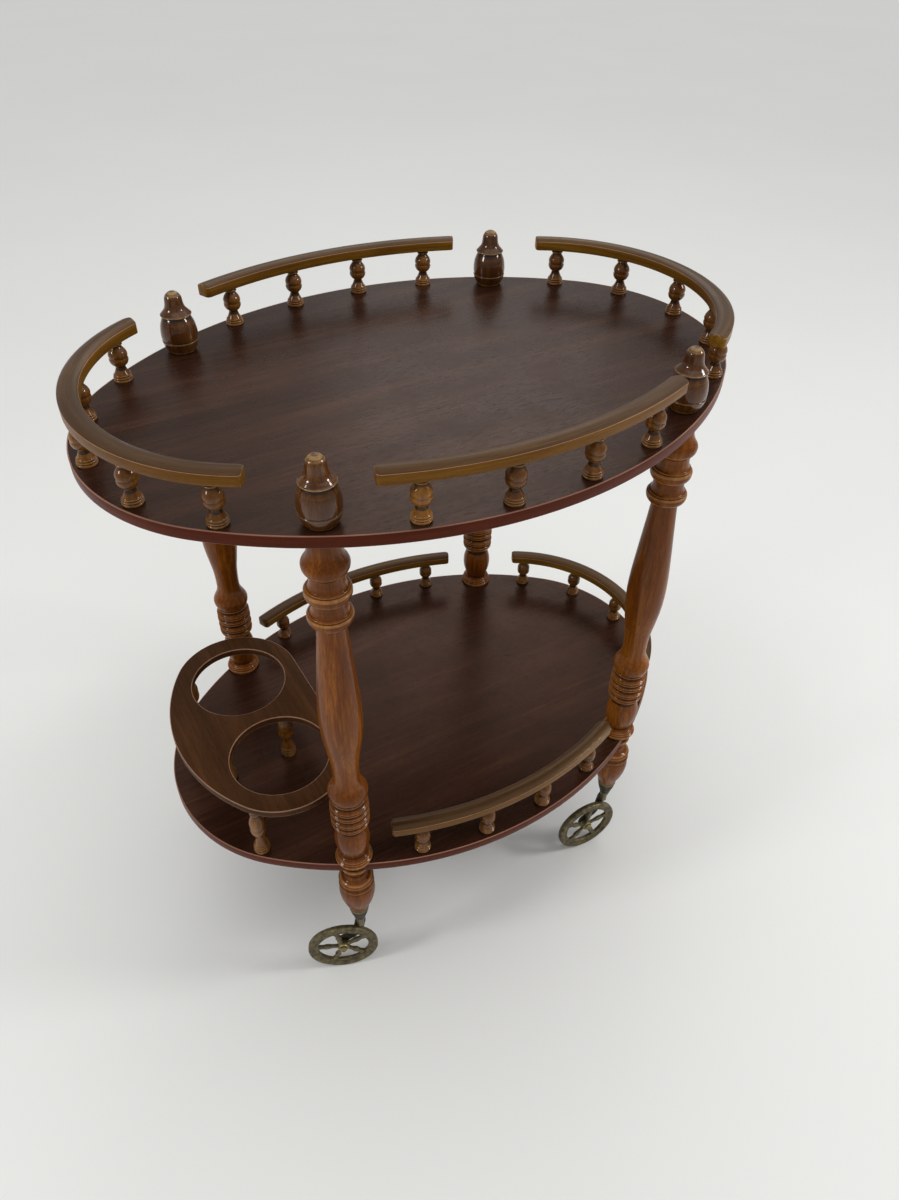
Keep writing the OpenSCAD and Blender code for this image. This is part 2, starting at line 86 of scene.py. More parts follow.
class Link:
    """An output socket that takes part in ordinary arithmetic."""

    def __init__(self, tree: "FinishTree", socket: bpy.types.NodeSocket) -> None:
        """Wraps one output socket of a finish's node tree."""
        self.tree = tree
        self.socket = socket

    def _math(self, operation: str, *values: "Link | float") -> "Link":
        """Adds a Math node for the operation on the values."""
        sockets = dict(enumerate(values))
        return self.tree.make("Math", {"operation": operation}, sockets)

    def __add__(self, other: "Link | float") -> "Link":
        """Adds."""
        return self._math("ADD", self, other)

    __radd__ = __add__

    def __sub__(self, other: "Link | float") -> "Link":
        """Subtracts."""
        return self._math("SUBTRACT", self, other)

    def __rsub__(self, other: float) -> "Link":
        """Subtracts this value from a number."""
        return self._math("SUBTRACT", other, self)

    def __mul__(self, other: "Link | float") -> "Link":
        """Multiplies."""
        return self._math("MULTIPLY", self, other)

    def step(self, low: float, high: float) -> "Link":
        """Rises smoothly from 0 to 1 between two values.

        Args:
            low: the value that gives 0.
            high: the value that gives 1.

        Returns:
            The eased value.
        """
        return self.tree.make("MapRange", {"interpolation_type": "SMOOTHSTEP"},
                              {"Value": self, "From Min": low, "From Max": high})


class FinishTree:
    """The node tree of one finish."""

    def __init__(self, name: str) -> None:
        """Makes an empty material with its output and its surface shader.

        Args:
            name: the material's name.
        """
        self.material = bpy.data.materials.new(name)
        self.material.use_nodes = True
        self.nodes = self.material.node_tree.nodes
        self.links = self.material.node_tree.links
        self.surface = self.nodes["Principled BSDF"]

    def make(self, kind: str, settings: dict | None = None, sockets: dict | None = None,
             output: int | str = 0) -> Link:
        """Adds a node.

        Args:
            kind: the node's type, without ShaderNode.
            settings: the node's own settings, and a ramp's stops as place and colour.
            sockets: values or links for its inputs, by name or number.
            output: which output to give back.

        Returns:
            The chosen output.
        """
        node = self.nodes.new("ShaderNode" + kind)
        for name, value in (settings or {}).items():
            if name == "stops":
                self._set_stops(node.color_ramp, value)
            else:
                setattr(node, name, value)
        for key, value in (sockets or {}).items():
            if isinstance(value, Link):
                self.links.new(value.socket, node.inputs[key])
            else:
                node.inputs[key].default_value = value
        return Link(self, node.outputs[output])

    @staticmethod
    def _set_stops(ramp: bpy.types.ColorRamp, stops: list[tuple[float, Colour]]) -> None:
        """Gives a ramp its stops."""
        while len(ramp.elements) < len(stops):
            ramp.elements.new(0.5)
        for element, (place, colour) in zip(ramp.elements, stops):
            element.position = place
            element.color = colour

    def attribute(self, name: str, output: str = "Fac") -> Link:
        """Reads an attribute of the piece's own mesh."""
        return self.make("Attribute", {"attribute_name": name}, {}, output)

    def scaled(self, place: Link, scale: tuple[float, float, float]) -> Link:
        """Stretches a pattern's coordinates."""
        return self.make("Mapping", {}, {"Vector": place, "Scale": scale})

    def noise(self, place: Link, scale: tuple[float, float, float], detail: float = 3.0,
              rough: float = 0.5) -> Link:
        """Adds a noise on stretched coordinates."""
        return self.make("TexNoise", {}, {"Vector": self.scaled(place, scale), "Scale": 1.0,
                                          "Detail": detail, "Roughness": rough})

    def bump(self, height: Link, strength: float, depth: float) -> Link:
        """Turns a height into a normal, for a relief of the given depth in millimetres."""
        return self.make("Bump", {}, {"Strength": strength, "Distance": depth * MM, "Height": height})

    def ramp(self, value: Link, stops: list[tuple[float, str]]) -> Link:
        """Turns a value into a colour."""
        return self.make("ValToRGB", {"stops": [(p, tint(c)) for p, c in stops]}, {0: value})

    def mix(self, low: "Link | Colour", high: "Link | Colour", share: "Link | float") -> Link:
        """Mixes two colours."""
        return self.make("Mix", {"data_type": "RGBA"}, {0: share, 6: low, 7: high}, 2)

    def wire(self, **values: Link) -> None:
        """Feeds links into the surface shader, by socket name with _ for a space."""
        for name, link in values.items():
            self.links.new(link.socket, self.surface.inputs[name.replace("_", " ")])

    def fix(self, **values: float) -> None:
        """Sets constants on the surface shader, by socket name with _ for a space."""
        for name, value in values.items():
            self.surface.inputs[name.replace("_", " ")].default_value = value


# ---------- finishes ----------

# the layers of a wood's figure: length along and across the grain in millimetres, detail, roughness
DRIFT = (260, 38, 3, 0.5)
STREAK = (120, 4.5, 5, 0.6)
HAIR = (34, 0.9, 3, 0.55)
PORE = (9, 0.42, 2, 0.5)
FLECK = (2.2, 0.9, 2, 0.6)
TONE_SHARES = (0.42, 0.34, 0.24)
TONE_STOPS = (0.3, 0.5, 0.7)
FLECK_SHARE = 0.3
# how strongly crests and arrises lighten: rubbed wear with a painted highlight
WEAR_AND_HIGHLIGHT_SHARE = 0.75
# how strongly the painted shade darkens a turning's grooves
GROOVE_SHADE_SHARE = 0.85
SMUDGE_SCALE = (22.0, 22.0, 22.0)
CLOUD_SCALE = (160.0, 160.0, 160.0)
SPECK_SCALE = (900.0, 900.0, 900.0)


class Grain(Enum):
    """Which way a wood's grain runs, as the coordinates that its pattern reads."""

    ALONG_X = (1, 0, 0)
    ALONG_Y = (0, 1, 0)
    UPRIGHT = (0, 0, 1)
    WITH_THE_PIECE = (1, 0, 1)


@dataclass(frozen=True)
class WoodFinish:
    """A stained and lacquered wood, with painted shade in its grooves and a lighter colour on its
    crests and arrises that is rubbed wear and a painted highlight.
    """

    name: str
    dark: str
    middle: str
    light: str
    pore: str
    grain: Grain
    roughness: float = 0.3
    gloss: float = 0.35
    coat: float = 0.0
    coat_roughness: float = 0.12
    pores: float = 0.5
    # the colour of the painted shade in a turning's grooves
    groove_shade_and_patina: str = "#1d0f08"
    # the lighter colour of crests and arrises: rubbed wear with a painted highlight
    wear_and_highlight: str = "#a9774a"
    blush: str = "#ffe2cc"

    def _scale(self, along: float, across: float) -> tuple[float, float, float]:
        """Gives a pattern's scale from its length along and across the grain, in millimetres."""
        axis = {Grain.ALONG_Y: 1, Grain.UPRIGHT: 2}.get(self.grain, 0)
        sizes = [1 / (across * MM)] * 3
        sizes[axis] = 1 / (along * MM)
        return tuple(sizes)

    def _figure(self, tree: FinishTree, place: Link, layer: tuple[float, ...]) -> Link:
        """Adds one layer of the figure."""
        along, across, detail, rough = layer
        return tree.noise(place, self._scale(along, across), detail, rough)

    def material(self) -> bpy.types.Material:
        """Builds the finish.

        Returns:
            The material.
        """
        tree = FinishTree(self.name)
        if self.grain is Grain.WITH_THE_PIECE:
            place = tree.attribute("lay", "Vector")
        else:
            place = tree.make("TexCoord", {}, {}, "Object")
        drift, streak, hair = (self._figure(tree, place, layer) for layer in (DRIFT, STREAK, HAIR))
        tone = drift * TONE_SHARES[0] + streak * TONE_SHARES[1] + hair * TONE_SHARES[2]
        colour = tree.ramp(tone, list(zip(TONE_STOPS, (self.dark, self.middle, self.light))))
        pore = self._figure(tree, place, PORE).step(0.57, 0.7)
        fleck = self._figure(tree, place, FLECK).step(0.6, 0.76)
        dark_spots = pore * self.pores + fleck * self.pores * FLECK_SHARE
        colour = tree.mix(colour, tint(self.pore), dark_spots)
        # Crests and arrises lighten: rubbed wear with a painted highlight.
        crest = tree.attribute("crest").step(0.1, 0.9)
        colour = tree.mix(colour, tint(self.wear_and_highlight), crest * streak * WEAR_AND_HIGHLIGHT_SHARE)
        # Painted shade: the grooves are darkened towards the groove colour.
        groove = tree.attribute("groove_shade_and_patina").step(0.02, 0.75)
        tree.wire(Base_Color=tree.mix(colour, tint(self.groove_shade_and_patina), groove * GROOVE_SHADE_SHARE))
        smudge = tree.noise(place, SMUDGE_SCALE, 3, 0.6)
        tree.wire(Roughness=self.roughness + (smudge - 0.5) * 0.16 + pore * 0.12)
        tree.wire(Normal=tree.bump(streak * 0.3 - pore * self.pores - fleck * 0.15, 0.35, 0.12))
        tree.fix(Coat_Weight=self.coat, Coat_Roughness=self.coat_roughness, IOR=1.5,
                 Specular_IOR_Level=self.gloss, Specular_Tint=tint(self.blush))
        return tree.material


@dataclass(frozen=True)
class BrassFinish:
    """Antique brass: warm metal under a brown patina that is worn off on its crests."""

    name: str
    metal: str
    patina: str
    cover: float
    roughness: float = 0.4

    def material(self) -> bpy.types.Material:
        """Builds the finish.

        Returns:
            The material.
        """
        tree = FinishTree(self.name)
        place = tree.make("TexCoord", {}, {}, "Object")
        cloud = tree.noise(place, CLOUD_SCALE, 5, 0.62)
        speck = tree.noise(place, SPECK_SCALE, 2, 0.5)
        crest = tree.attribute("crest").step(0.0, 0.8)
        groove = tree.attribute("groove_shade_and_patina").step(0.0, 0.6)
        cover = (cloud + self.cover - 0.5 + groove * 0.6 - crest * 0.5).step(0.2, 0.8)
        tree.wire(Base_Color=tree.mix(tint(self.metal), tint(self.patina), cover))
        tree.wire(Metallic=1 - cover * 0.45)
        tree.wire(Roughness=self.roughness + cover * 0.18 + (speck - 0.5) * 0.2)
        tree.wire(Normal=tree.bump(cloud * 0.5 + speck * 0.5, 0.3, 0.08))
        return tree.material


class Finish(Enum):
    """The cart's finishes."""

    WALNUT = WoodFinish("walnut_veneer", "#1e0f08", "#2f1a11", "#4b3022", "#0c0603", Grain.ALONG_X,
                        roughness=0.27, gloss=0.27, pores=0.6, blush="#e0a888")
    # the lipping's arrises take its lighter crest colour as a painted highlight line
    LIPPING = WoodFinish("stained_lipping", "#3d150b", "#54200f", "#74351d", "#260c06",
                         Grain.WITH_THE_PIECE, roughness=0.38, gloss=0.12, pores=0.4,
                         wear_and_highlight="#d0a088")
    TURNED = WoodFinish("amber_turned_wood", "#391906", "#6d390e", "#a6641e", "#240f04", Grain.UPRIGHT,
                        roughness=0.34, gloss=0.05, coat=0.34, coat_roughness=0.1, pores=0.4,
                        wear_and_highlight="#d0985c", blush="#e8b080")
    SPINDLE = WoodFinish("spindle_wood", "#3c1f08", "#663c10", "#9c6826", "#241104", Grain.UPRIGHT,
                         roughness=0.3, gloss=0.06, coat=0.65, coat_roughness=0.1, pores=0.3,
                         wear_and_highlight="#b98a50")
    FINIAL = WoodFinish("finial_wood", "#2a1405", "#4c290d", "#7a4e1a", "#180b04", Grain.UPRIGHT,
                        roughness=0.3, gloss=0.06, coat=0.85, coat_roughness=0.09, pores=0.35,
                        wear_and_highlight="#c09858")
    RAIL_TOP = WoodFinish("rail_top", "#2f1f12", "#49331f", "#6b5030", "#20150d", Grain.WITH_THE_PIECE,
                          roughness=0.3, gloss=0.3, pores=0.4, blush="#f0c8a0")
    # the rail's upright sides: a lighter golden copy of its wood, a painted reflection
    RAIL_SIDE = WoodFinish("rail_side_painted_reflection", "#48290c", "#6f4916", "#9c7426", "#362009",
                           Grain.WITH_THE_PIECE, roughness=0.34, gloss=0.18, pores=0.4,
                           blush="#f0c8a0")
    # the rail's eased upper arris: a pale painted highlight
    RAIL_ARRIS = WoodFinish("rail_arris_painted_highlight", "#8a6450", "#a87f68", "#c79e88", "#5b3b2a",
                            Grain.WITH_THE_PIECE, roughness=0.4, gloss=0.3, pores=0.3)
    HOLDER = WoodFinish("holder_wood", "#2c190b", "#442914", "#5e3c20", "#180c05", Grain.ALONG_Y,
                        roughness=0.5, gloss=0.1, pores=0.55)
    # the holder plate's eased arrises: a pale painted highlight
    ARRIS = WoodFinish("arris_painted_highlight", "#7a5540", "#96705a", "#b08c76", "#5b3b2a", Grain.ALONG_X,
                       roughness=0.42, gloss=0.25, pores=0.3)
    DOWEL = WoodFinish("dowel_beech", "#a5804f", "#b8925f", "#c9a673", "#8a6538", Grain.UPRIGHT,
                       roughness=0.6, pores=0.3)
    BRASS = BrassFinish("antique_brass", "#948661", "#443e2e", 0.58, 0.4)
    DARK_BRASS = BrassFinish("darkened_brass", "#7d7355", "#2a2620", 0.68, 0.42)


class Polish:
    """Makes each finish's material once and hands it out."""

    _made: dict[Finish, bpy.types.Material] = {}

    @classmethod
    def of(cls, finish: Finish) -> bpy.types.Material:
        """Gives a finish's material."""
        if finish not in cls._made:
            cls._made[finish] = finish.value.material()
        return cls._made[finish]


# ---------- outlines ----------


def arc(x: float, y: float, r: float, start: float, end: float, steps: int) -> list[Point]:
    """Gives points on an arc.

    Args:
        x: the centre's first coordinate.
        y: the centre's second coordinate.
        r: the radius.
        start: the first angle, in degrees.
        end: the last angle, in degrees.
        steps: how many chords the arc has.

    Returns:
        The points, ends included.
    """
    angles = [math.radians(start + (end - start) * i / steps) for i in range(steps + 1)]
    return [(x + r * math.cos(a), y + r * math.sin(a)) for a in angles]


def ridge(x: float, y: float, r: float = 0.8) -> list[Point]:
    """Gives a thin rounded ridge on a turning, round a point of its wall."""
    return arc(x, y, r, -75, 75, 6)


def smooth(points: list[Point], steps: int) -> list[Point]:
    """Draws a smooth line through points.

    Args:
        points: the points that the line passes through.
        steps: how many chords lie between two of them.

    Returns:
        The line's points, ends included.
    """
    line = []
    last = len(points) - 1
    for i in range(last):
        a, b, c, d = (Vector(points[min(max(i + k, 0), last)]) for k in (-1, 0, 1, 2))
        for j in range(steps):
            t = j / steps
            p = 2 * b + (c - a) * t + (2 * a - 5 * b + 4 * c - d) * t**2
            p = (p + (3 * b - a - 3 * c + d) * t**3) / 2
            line.append((p.x, p.y))
    return line + [tuple(points[-1])]


def lifted(points: list[Point], rise: float, widen: float = 1.0) -> list[Point]:
    """Raises radius and height pairs, and scales their radii."""
    return [(r * widen, z + rise) for r, z in points]


# ---------- mesh work ----------

# a turning's groove mask (painted shade in the wood's grooves, patina in the brass's hollows) and
# crest mask (rubbed wear with a painted highlight on the wood, bare metal on the brass): how much of
# the reach gives a full mask
GROOVE_SHARE = 0.45
CREST_SHARE = 0.12
# how upright and how level two faces are where an arris is eased, and the angle between them
UPRIGHT_FACE = 0.3
LEVEL_FACE = 0.7
ARRIS_ANGLE = math.radians(60)
# past these angles in degrees an edge stays crisp
CRISP_TURNING = 50.0
CRISP_PLATE = 35.0


def put_in_scene(name: str, data: bpy.types.ID) -> bpy.types.Object:
    """Makes an object of some data and puts it in the scene."""
    thing = bpy.data.objects.new(name, data)
    bpy.context.scene.collection.objects.link(thing)
    return thing


class Workpiece:
    """A mesh in the making, shaped by operators and then fixed in the frame as one piece."""

    def __init__(self, name: str) -> None:
        """Starts an empty mesh.

        Args:
            name: the piece's name.
        """
        self.name = name
        self.bm = bmesh.new()
        self.groove_shade_and_patina = self.bm.verts.layers.float.new("groove_shade_and_patina")
        self.crest = self.bm.verts.layers.float.new("crest")
        self.lay = self.bm.verts.layers.float_vector.new("lay")

    def added(self, before: set) -> list:
        """Gives the vertices that weren't there before."""
        return [v for v in self.bm.verts if v not in before]

    def spin(self, geom: list, centre: Vector, angle: float, steps: int, axis: Vector = UP,
             merge: bool = False) -> list:
        """Spins geometry round an axis.

        Args:
            geom: what is spun.
            centre: a point of the axis.
            angle: how far, in radians.
            steps: how many copies are made on the way.
            axis: the axis's direction.
            merge: whether the last copy is joined to the first, for a full turn.

        Returns:
            The last copy.
        """
        made = bmesh.ops.spin(self.bm, geom=geom, cent=centre, axis=axis, dvec=(0, 0, 0), angle=angle,
                              steps=steps, use_merge=merge, use_duplicate=False)
        return made["geom_last"]

    def lathe(self, profile: list[Point], place: Matrix, segments: int, reach: float) -> None:
        """Turns a profile round its own upright axis, closed at both ends.

        Args:
            profile: radius and height pairs in millimetres, from one end to the other.
            place: where the turning's foot goes.
            segments: how many steps the full turn has.
            reach: how far along the axis a groove looks for its walls.
        """
        line = [(0.0, profile[0][1]), *profile, (0.0, profile[-1][1])]
        before = set(self.bm.verts)
        verts = [self.bm.verts.new((r * MM, 0, z * MM)) for r, z in line]
        for vert, (r, z) in zip(verts, line):
            below = [q[0] for q in line if z - reach <= q[1] <= z]
            above = [q[0] for q in line if z <= q[1] <= z + reach]
            # groove depth: painted shade on the wood, darker patina on the brass
            vert[self.groove_shade_and_patina] = max(0.0, min(max(below), max(above)) - r) / (reach * GROOVE_SHARE)
            # crest height: rubbed wear with a painted highlight on the wood, bare metal on the brass
            near = [q[0] for q in line if abs(q[1] - z) <= reach / 3]
            vert[self.crest] = max(0.0, r - sum(near) / len(near)) / (reach * CREST_SHARE)
        edges = [self.bm.edges.new(pair) for pair in zip(verts, verts[1:])]
        self.spin(verts + edges, Vector(), TAU, segments, merge=True)
        bmesh.ops.remove_doubles(self.bm, verts=self.added(before), dist=WELD)
        bmesh.ops.transform(self.bm, matrix=place, verts=self.added(before))

    def ring(self, profile: list[Point], place: Matrix, segments: int) -> None:
        """Turns a closed profile round an upright axis that it doesn't meet.

        Args:
            profile: radius and height pairs in millimetres, all the way round.
            place: where the ring's middle goes.
            segments: how many steps the full turn has.
        """
        before = set(self.bm.verts)
        verts = [self.bm.verts.new((r * MM, 0, z * MM)) for r, z in profile]
        edges = [self.bm.edges.new((verts[i - 1], verts[i])) for i in range(len(verts))]
        self.spin(verts + edges, Vector(), TAU, segments, merge=True)
        bmesh.ops.transform(self.bm, matrix=place, verts=self.added(before))

    def swept_loop(self, start: Vector, turns: list[tuple[Vector, float, int]]) -> list:
        """Draws a closed line of arcs, by turning a point round one centre after another.

        Args:
            start: the first point, in metres.
            turns: each arc's centre, angle in radians and number of chords. If the last arc
                ends away from the start, a straight edge closes the line.

        Returns:
            The line's edges.
        """
        first = self.bm.verts.new(start)
        before = set(self.bm.edges)
        vert = first
        for centre, angle, steps in turns:
            last = self.spin([vert], centre, angle, steps)
            vert = next(g for g in last if isinstance(g, bmesh.types.BMVert))
        if (vert.co - first.co).length > WELD:
            self.bm.edges.new((vert, first))
        else:
            bmesh.ops.weld_verts(self.bm, targetmap={vert: first})
        return [e for e in self.bm.edges if e not in before]

    def slab(self, faces: list, thick: float) -> list:
        """Thickens flat faces upwards.

        Args:
            faces: faces that lie in one level plane.
            thick: the thickness, in metres.

        Returns:
            The faces of the upper side.
        """
        made = bmesh.ops.extrude_face_region(self.bm, geom=faces)
        verts = [g for g in made["geom"] if isinstance(g, bmesh.types.BMVert)]
        bmesh.ops.translate(self.bm, vec=UP * thick, verts=verts)
        return [g for g in made["geom"] if isinstance(g, bmesh.types.BMFace)]

    def ease(self, edges: list, width: float, segments: int = 3) -> list:
        """Rounds edges over.

        Args:
            edges: the edges.
            width: how far the rounding reaches, in millimetres.
            segments: how many steps it has.

        Returns:
            The rounding's faces.
        """
        made = bmesh.ops.bevel(self.bm, geom=edges, offset=width * MM, offset_type="OFFSET",
                               affect="EDGES", segments=segments, profile=0.5, material=-1,
                               clamp_overlap=True)
        return made["faces"]

    def level_edges(self) -> list:
        """Finds the edges where a level face meets an upright one."""
        self.bm.normal_update()
        found = []
        for e in self.bm.edges:
            if len(e.link_faces) == 2 and e.calc_face_angle(0) > ARRIS_ANGLE:
                ups = sorted(abs(f.normal.z) for f in e.link_faces)
                if ups[0] < UPRIGHT_FACE and ups[1] > LEVEL_FACE:
                    found.append(e)
        return found

    def finish(self, body: str, slot: str, nodes: list[str], finishes: list[Finish],
               sharp: float = 40.0) -> bpy.types.Object:
        """Closes the mesh and fixes it in the frame.

        Args:
            body: the body that it rides on.
            slot: the record's material slot; not used.
            nodes: the CAD nodes that it stands for.
            finishes: its finishes, in the order of its faces' material numbers.
            sharp: the angle in degrees past which an edge stays crisp.

        Returns:
            The finished object.
        """
        bmesh.ops.recalc_face_normals(self.bm, faces=self.bm.faces)
        for face in self.bm.faces:
            face.smooth = True
        mesh = bpy.data.meshes.new(self.name)
        self.bm.to_mesh(mesh)
        self.bm.free()
        mesh.set_sharp_from_angle(angle=math.radians(sharp))
        for finish in finishes:
            mesh.materials.append(Polish.of(finish))
        piece = put_in_scene(self.name, mesh)
        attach(piece, body)
        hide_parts(*nodes)
        log.info("%s: %d faces on %s", self.name, len(mesh.polygons), body)
        return piece


def standing(node: str) -> Matrix:
    """Gives the place at the foot of a node's upright axis, turned upright."""
    low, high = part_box(node)
    return Matrix.Translation(((low.x + high.x) / 2, (low.y + high.y) / 2, low.z))


def keep_in_cad(node: str, finish: Finish) -> None:
    """Gives a CAD node whose shape is right its finish."""
    mesh = frame["nodes"][node].data
    mesh.materials.clear()
    mesh.materials.append(Polish.of(finish))


# ---------- boards ----------


@dataclass
class Oval:
    """The boards' outline: four arcs that run into each other."""

    half_len: float
    half_wid: float
    end_r: float = 177.5 * MM
    side_steps: int = 72
    end_steps: int = 56

    def __post_init__(self) -> None:
        """Works out the long arcs from the ends."""
        a, b, e = self.half_len, self.half_wid, self.end_r
        self.side_r = (a * a - 2 * a * e + b * b) / (2 * (b - e))
        self.end_x = a - e
        self.side_y = self.side_r - b
        self.turn = math.atan2(self.side_y, self.end_x)

    def draw(self, work: Workpiece, inset: float, height: float) -> list:
        """Draws the outline.

        Args:
            work: the mesh that takes it.
            inset: how far inside the true outline it runs, in metres.
            height: its height, in metres.

        Returns:
            The outline's edges.
        """
        r = self.side_r - inset
        start = Vector((r * math.cos(self.turn), r * math.sin(self.turn) - self.side_y, height))
        long_turn = math.pi - 2 * self.turn
        return work.swept_loop(start, [
            (Vector((0, -self.side_y, height)), long_turn, self.side_steps),
            (Vector((-self.end_x, 0, height)), 2 * self.turn, self.end_steps),
            (Vector((0, self.side_y, height)), long_turn, self.side_steps),
            (Vector((self.end_x, 0, height)), 2 * self.turn, self.end_steps)])


@dataclass
class Board:
    """A veneered board with a thin lipping round its edge."""

    level: str
    end_r: float
    arris: float = 0.7
    lipping: float = 1.2 * MM
    grain_shift: float = 0.2

    def __post_init__(self) -> None:
        """Takes the board's size and place from its lipping."""
        low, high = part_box(self.level + "_band")
        self.bottom = low.z
        self.thick = high.z - low.z
        self.oval = Oval(high.x, high.y, self.end_r)

    def build(self) -> None:
        """Builds the veneered panel and its lipping."""
        panel = Workpiece(self.level + "_panel")
        edges = self.oval.draw(panel, self.lipping, self.bottom)
        face = bmesh.ops.contextual_create(panel.bm, geom=edges)["faces"]
        panel.slab(face, self.thick)
        panel.finish("cart", "walnut_board", [self.level + "_board"], [Finish.WALNUT])
        edge = Workpiece(self.level + "_lipping")
        outer = self.oval.draw(edge, 0, self.bottom)
        inner = self.oval.draw(edge, self.lipping, self.bottom)
        faces = bmesh.ops.bridge_loops(edge.bm, edges=outer + inner)["faces"]
        edge.slab(faces, self.thick)
        rims = [e for e in edge.level_edges() if self._is_outer(e)]
        edge.ease(rims, self.arris)
        self._lay_grain(edge)
        edge.finish("cart", "board_lipping", [self.level + "_band"], [Finish.LIPPING])

    def _is_outer(self, edge: bmesh.types.BMEdge) -> bool:
        """Tells whether an edge of the lipping lies on the outer side."""
        middle = (edge.verts[0].co + edge.verts[1].co) / 2
        x, y = abs(middle.x), abs(middle.y) + self.oval.side_y
        if math.atan2(y, x) < self.oval.turn:
            return math.hypot(x - self.oval.end_x, middle.y) > self.end_r - self.lipping / 2
        return math.hypot(x, y) > self.oval.side_r - self.lipping / 2

    def _lay_grain(self, work: Workpiece) -> None:
        """Runs the lipping's grain round the board, and marks its arrises for a painted highlight
        line.
        """
        for v in work.bm.verts:
            angle = math.atan2(v.co.y, v.co.x)
            v[work.lay] = Vector((abs(angle) * self.oval.half_wid, v.co.z, self.grain_shift))
            off = min(v.co.z - self.bottom, self.bottom + self.thick - v.co.z)
            # the arris bands take the lighter crest colour as a painted highlight
            v[work.crest] = 1.0 if off < self.arris * MM else 0.0


# ---------- turnings ----------


@dataclass
class Leg:
    """A leg: a column between the boards, a finial over it and a foot under it."""

    corner: str
    segments: int = 80
    foot_reach: float = 9.0
    spigot_r: float = 8.4
    widest: float = 20.8
    column_low: list[Point] = field(default_factory=lambda: (
        [(17.2, 0), (19.4, 0.6)] + arc(18.7, 3.2, 1.7, -60, 70, 8) + [(18.4, 5.5)]
        + ridge(18.2, 6.8) + [(17.7, 8)] + ridge(17.4, 9.2) + [(16.4, 10.4), (14.6, 11.8)]
        + smooth([(14.4, 13), (14.8, 16.4), (16.6, 23), (18.4, 31), (18.9, 39), (18.2, 47), (16.4, 54),
                  (14.6, 58.8), (14.3, 60.4)], 4)
        + smooth([(15.2, 61.6), (17.4, 63.6), (18.8, 66.4)], 3) + ridge(19.1, 68) + [(18.4, 69.5)]
        + ridge(19.5, 71.2) + [(18.5, 73), (18.3, 74.8)] + ridge(19.4, 76.6) + [(18.6, 78.2)]
        + ridge(19.7, 79.9) + [(18.2, 81.8), (17.2, 83.4), (17.2, 85.2), (18, 86.8)]
        + ridge(19.5, 88.6) + [(18.6, 90.2)] + ridge(19.7, 91.9) + [(18.4, 93.8), (18.2, 95.6)]
        + ridge(19.3, 97.4) + [(18.4, 99)] + ridge(19.2, 100.7)
        + [(18, 102.6), (16.4, 104.4), (16.2, 106.4), (17, 107.6)] + ridge(17.6, 109)
        + [(17, 110.4)]
        + smooth([(17.6, 111.2), (19.6, 113.8), (20.7, 117.6), (20.8, 121)], 5)
        + smooth([(20.4, 123), (18.8, 126.8), (16.6, 131), (14.8, 135.6), (13.9, 139.2),
                  (13.6, 142)], 4)))
    low_h: float = 142.0
    shaft: tuple[Point, ...] = ((13.6, 0.05), (14.6, 0.13), (17.3, 0.22), (19.7, 0.31), (20.8, 0.4),
                                (20.8, 0.48), (19.8, 0.58), (18.1, 0.69), (16.2, 0.8), (14.4, 0.91),
                                (13.5, 0.97))
    column_top: list[Point] = field(default_factory=lambda: (
        [(13.3, 0), (14.2, 0.4)] + ridge(14.2, 1.4) + [(14.8, 2.4)]
        + smooth([(15.8, 2.7), (18.6, 4.6), (20.1, 8), (20.3, 10.8)], 5)
        + [(20.1, 12.4), (19.3, 13.2), (18.1, 13.4)] + ridge(17.8, 14.6) + [(17, 15.9)]
        + smooth([(16.6, 16.6), (15.7, 19.6), (15.4, 23.4), (15.4, 27)], 3)
        + [(15.5, 27.6)] + ridge(15.6, 28.4, 0.6) + [(15.9, 29.2)]
        + smooth([(16.4, 29.4), (18.8, 31), (20.3, 34.4), (20.6, 37.6)], 5)
        + [(20.4, 39.6), (19.5, 40.6), (18.2, 40.8)] + ridge(17.9, 42) + [(17.1, 43.3)]
        + smooth([(16.6, 44), (15.7, 47), (15.4, 50.4), (15.4, 55.4)], 3)
        + [(15.5, 56)] + ridge(15.7, 56.9, 0.7) + [(15.9, 57.9)]
        + smooth([(16.4, 58.2), (18.4, 59.8), (20, 63), (20.4, 66.4)], 5)
        + smooth([(20.2, 67.8), (19.2, 70.2), (17, 73.6), (15.2, 77.6), (14.2, 82), (14, 87),
                  (14.1, 91)], 4)
        + [(15, 91.8), (15.2, 94.5)]))
    top_h: float = 94.5
    finial: list[Point] = field(default_factory=lambda: (
        [(12.6, 0), (13.6, 0.9)] + smooth([(14.7, 2.6), (16.3, 6), (17.4, 9.4), (17.9, 11.8)], 4)
        + [(17.6, 12.4), (17.1, 12.7), (17.1, 13.2), (17.6, 13.5)]
        + smooth([(17.9, 14.4), (18.1, 18), (17.8, 23), (16.9, 28), (15.3, 32.4), (13.9, 35.4)], 5)
        + [(13.2, 36.3), (13.1, 37), (14.4, 37.2)] + ridge(14.5, 38.1)
        + smooth([(14.3, 39.3), (12.9, 41), (10.8, 43.6), (9.5, 46.6), (8.9, 50)], 4)
        + arc(0, 52.4, 8.6, 6, 86, 12)))
    finial_h: float = 61.0
    foot: list[Point] = field(default_factory=lambda: (
        [(16.2, 0), (16.5, 0.5), (16.5, 2.2)]
        + smooth([(15.8, 3.2), (14.2, 5.2), (12.4, 9.6), (11.5, 16), (12.4, 21.4), (13.8, 23.2)], 4)
        + [(15, 24.1), (18.2, 25.2)] + arc(18, 28, 1.9, -66, 66, 9) + [(18.3, 31), (18.2, 34.2)]
        + arc(18.5, 36.9, 1.7, -66, 60, 9) + [(18.6, 39.6), (18.8, 40.7)]
        + smooth([(19.9, 44), (20.5, 50), (20.1, 57), (18.9, 65), (16.5, 74), (13.7, 82),
                  (11.2, 89.2)], 4)))

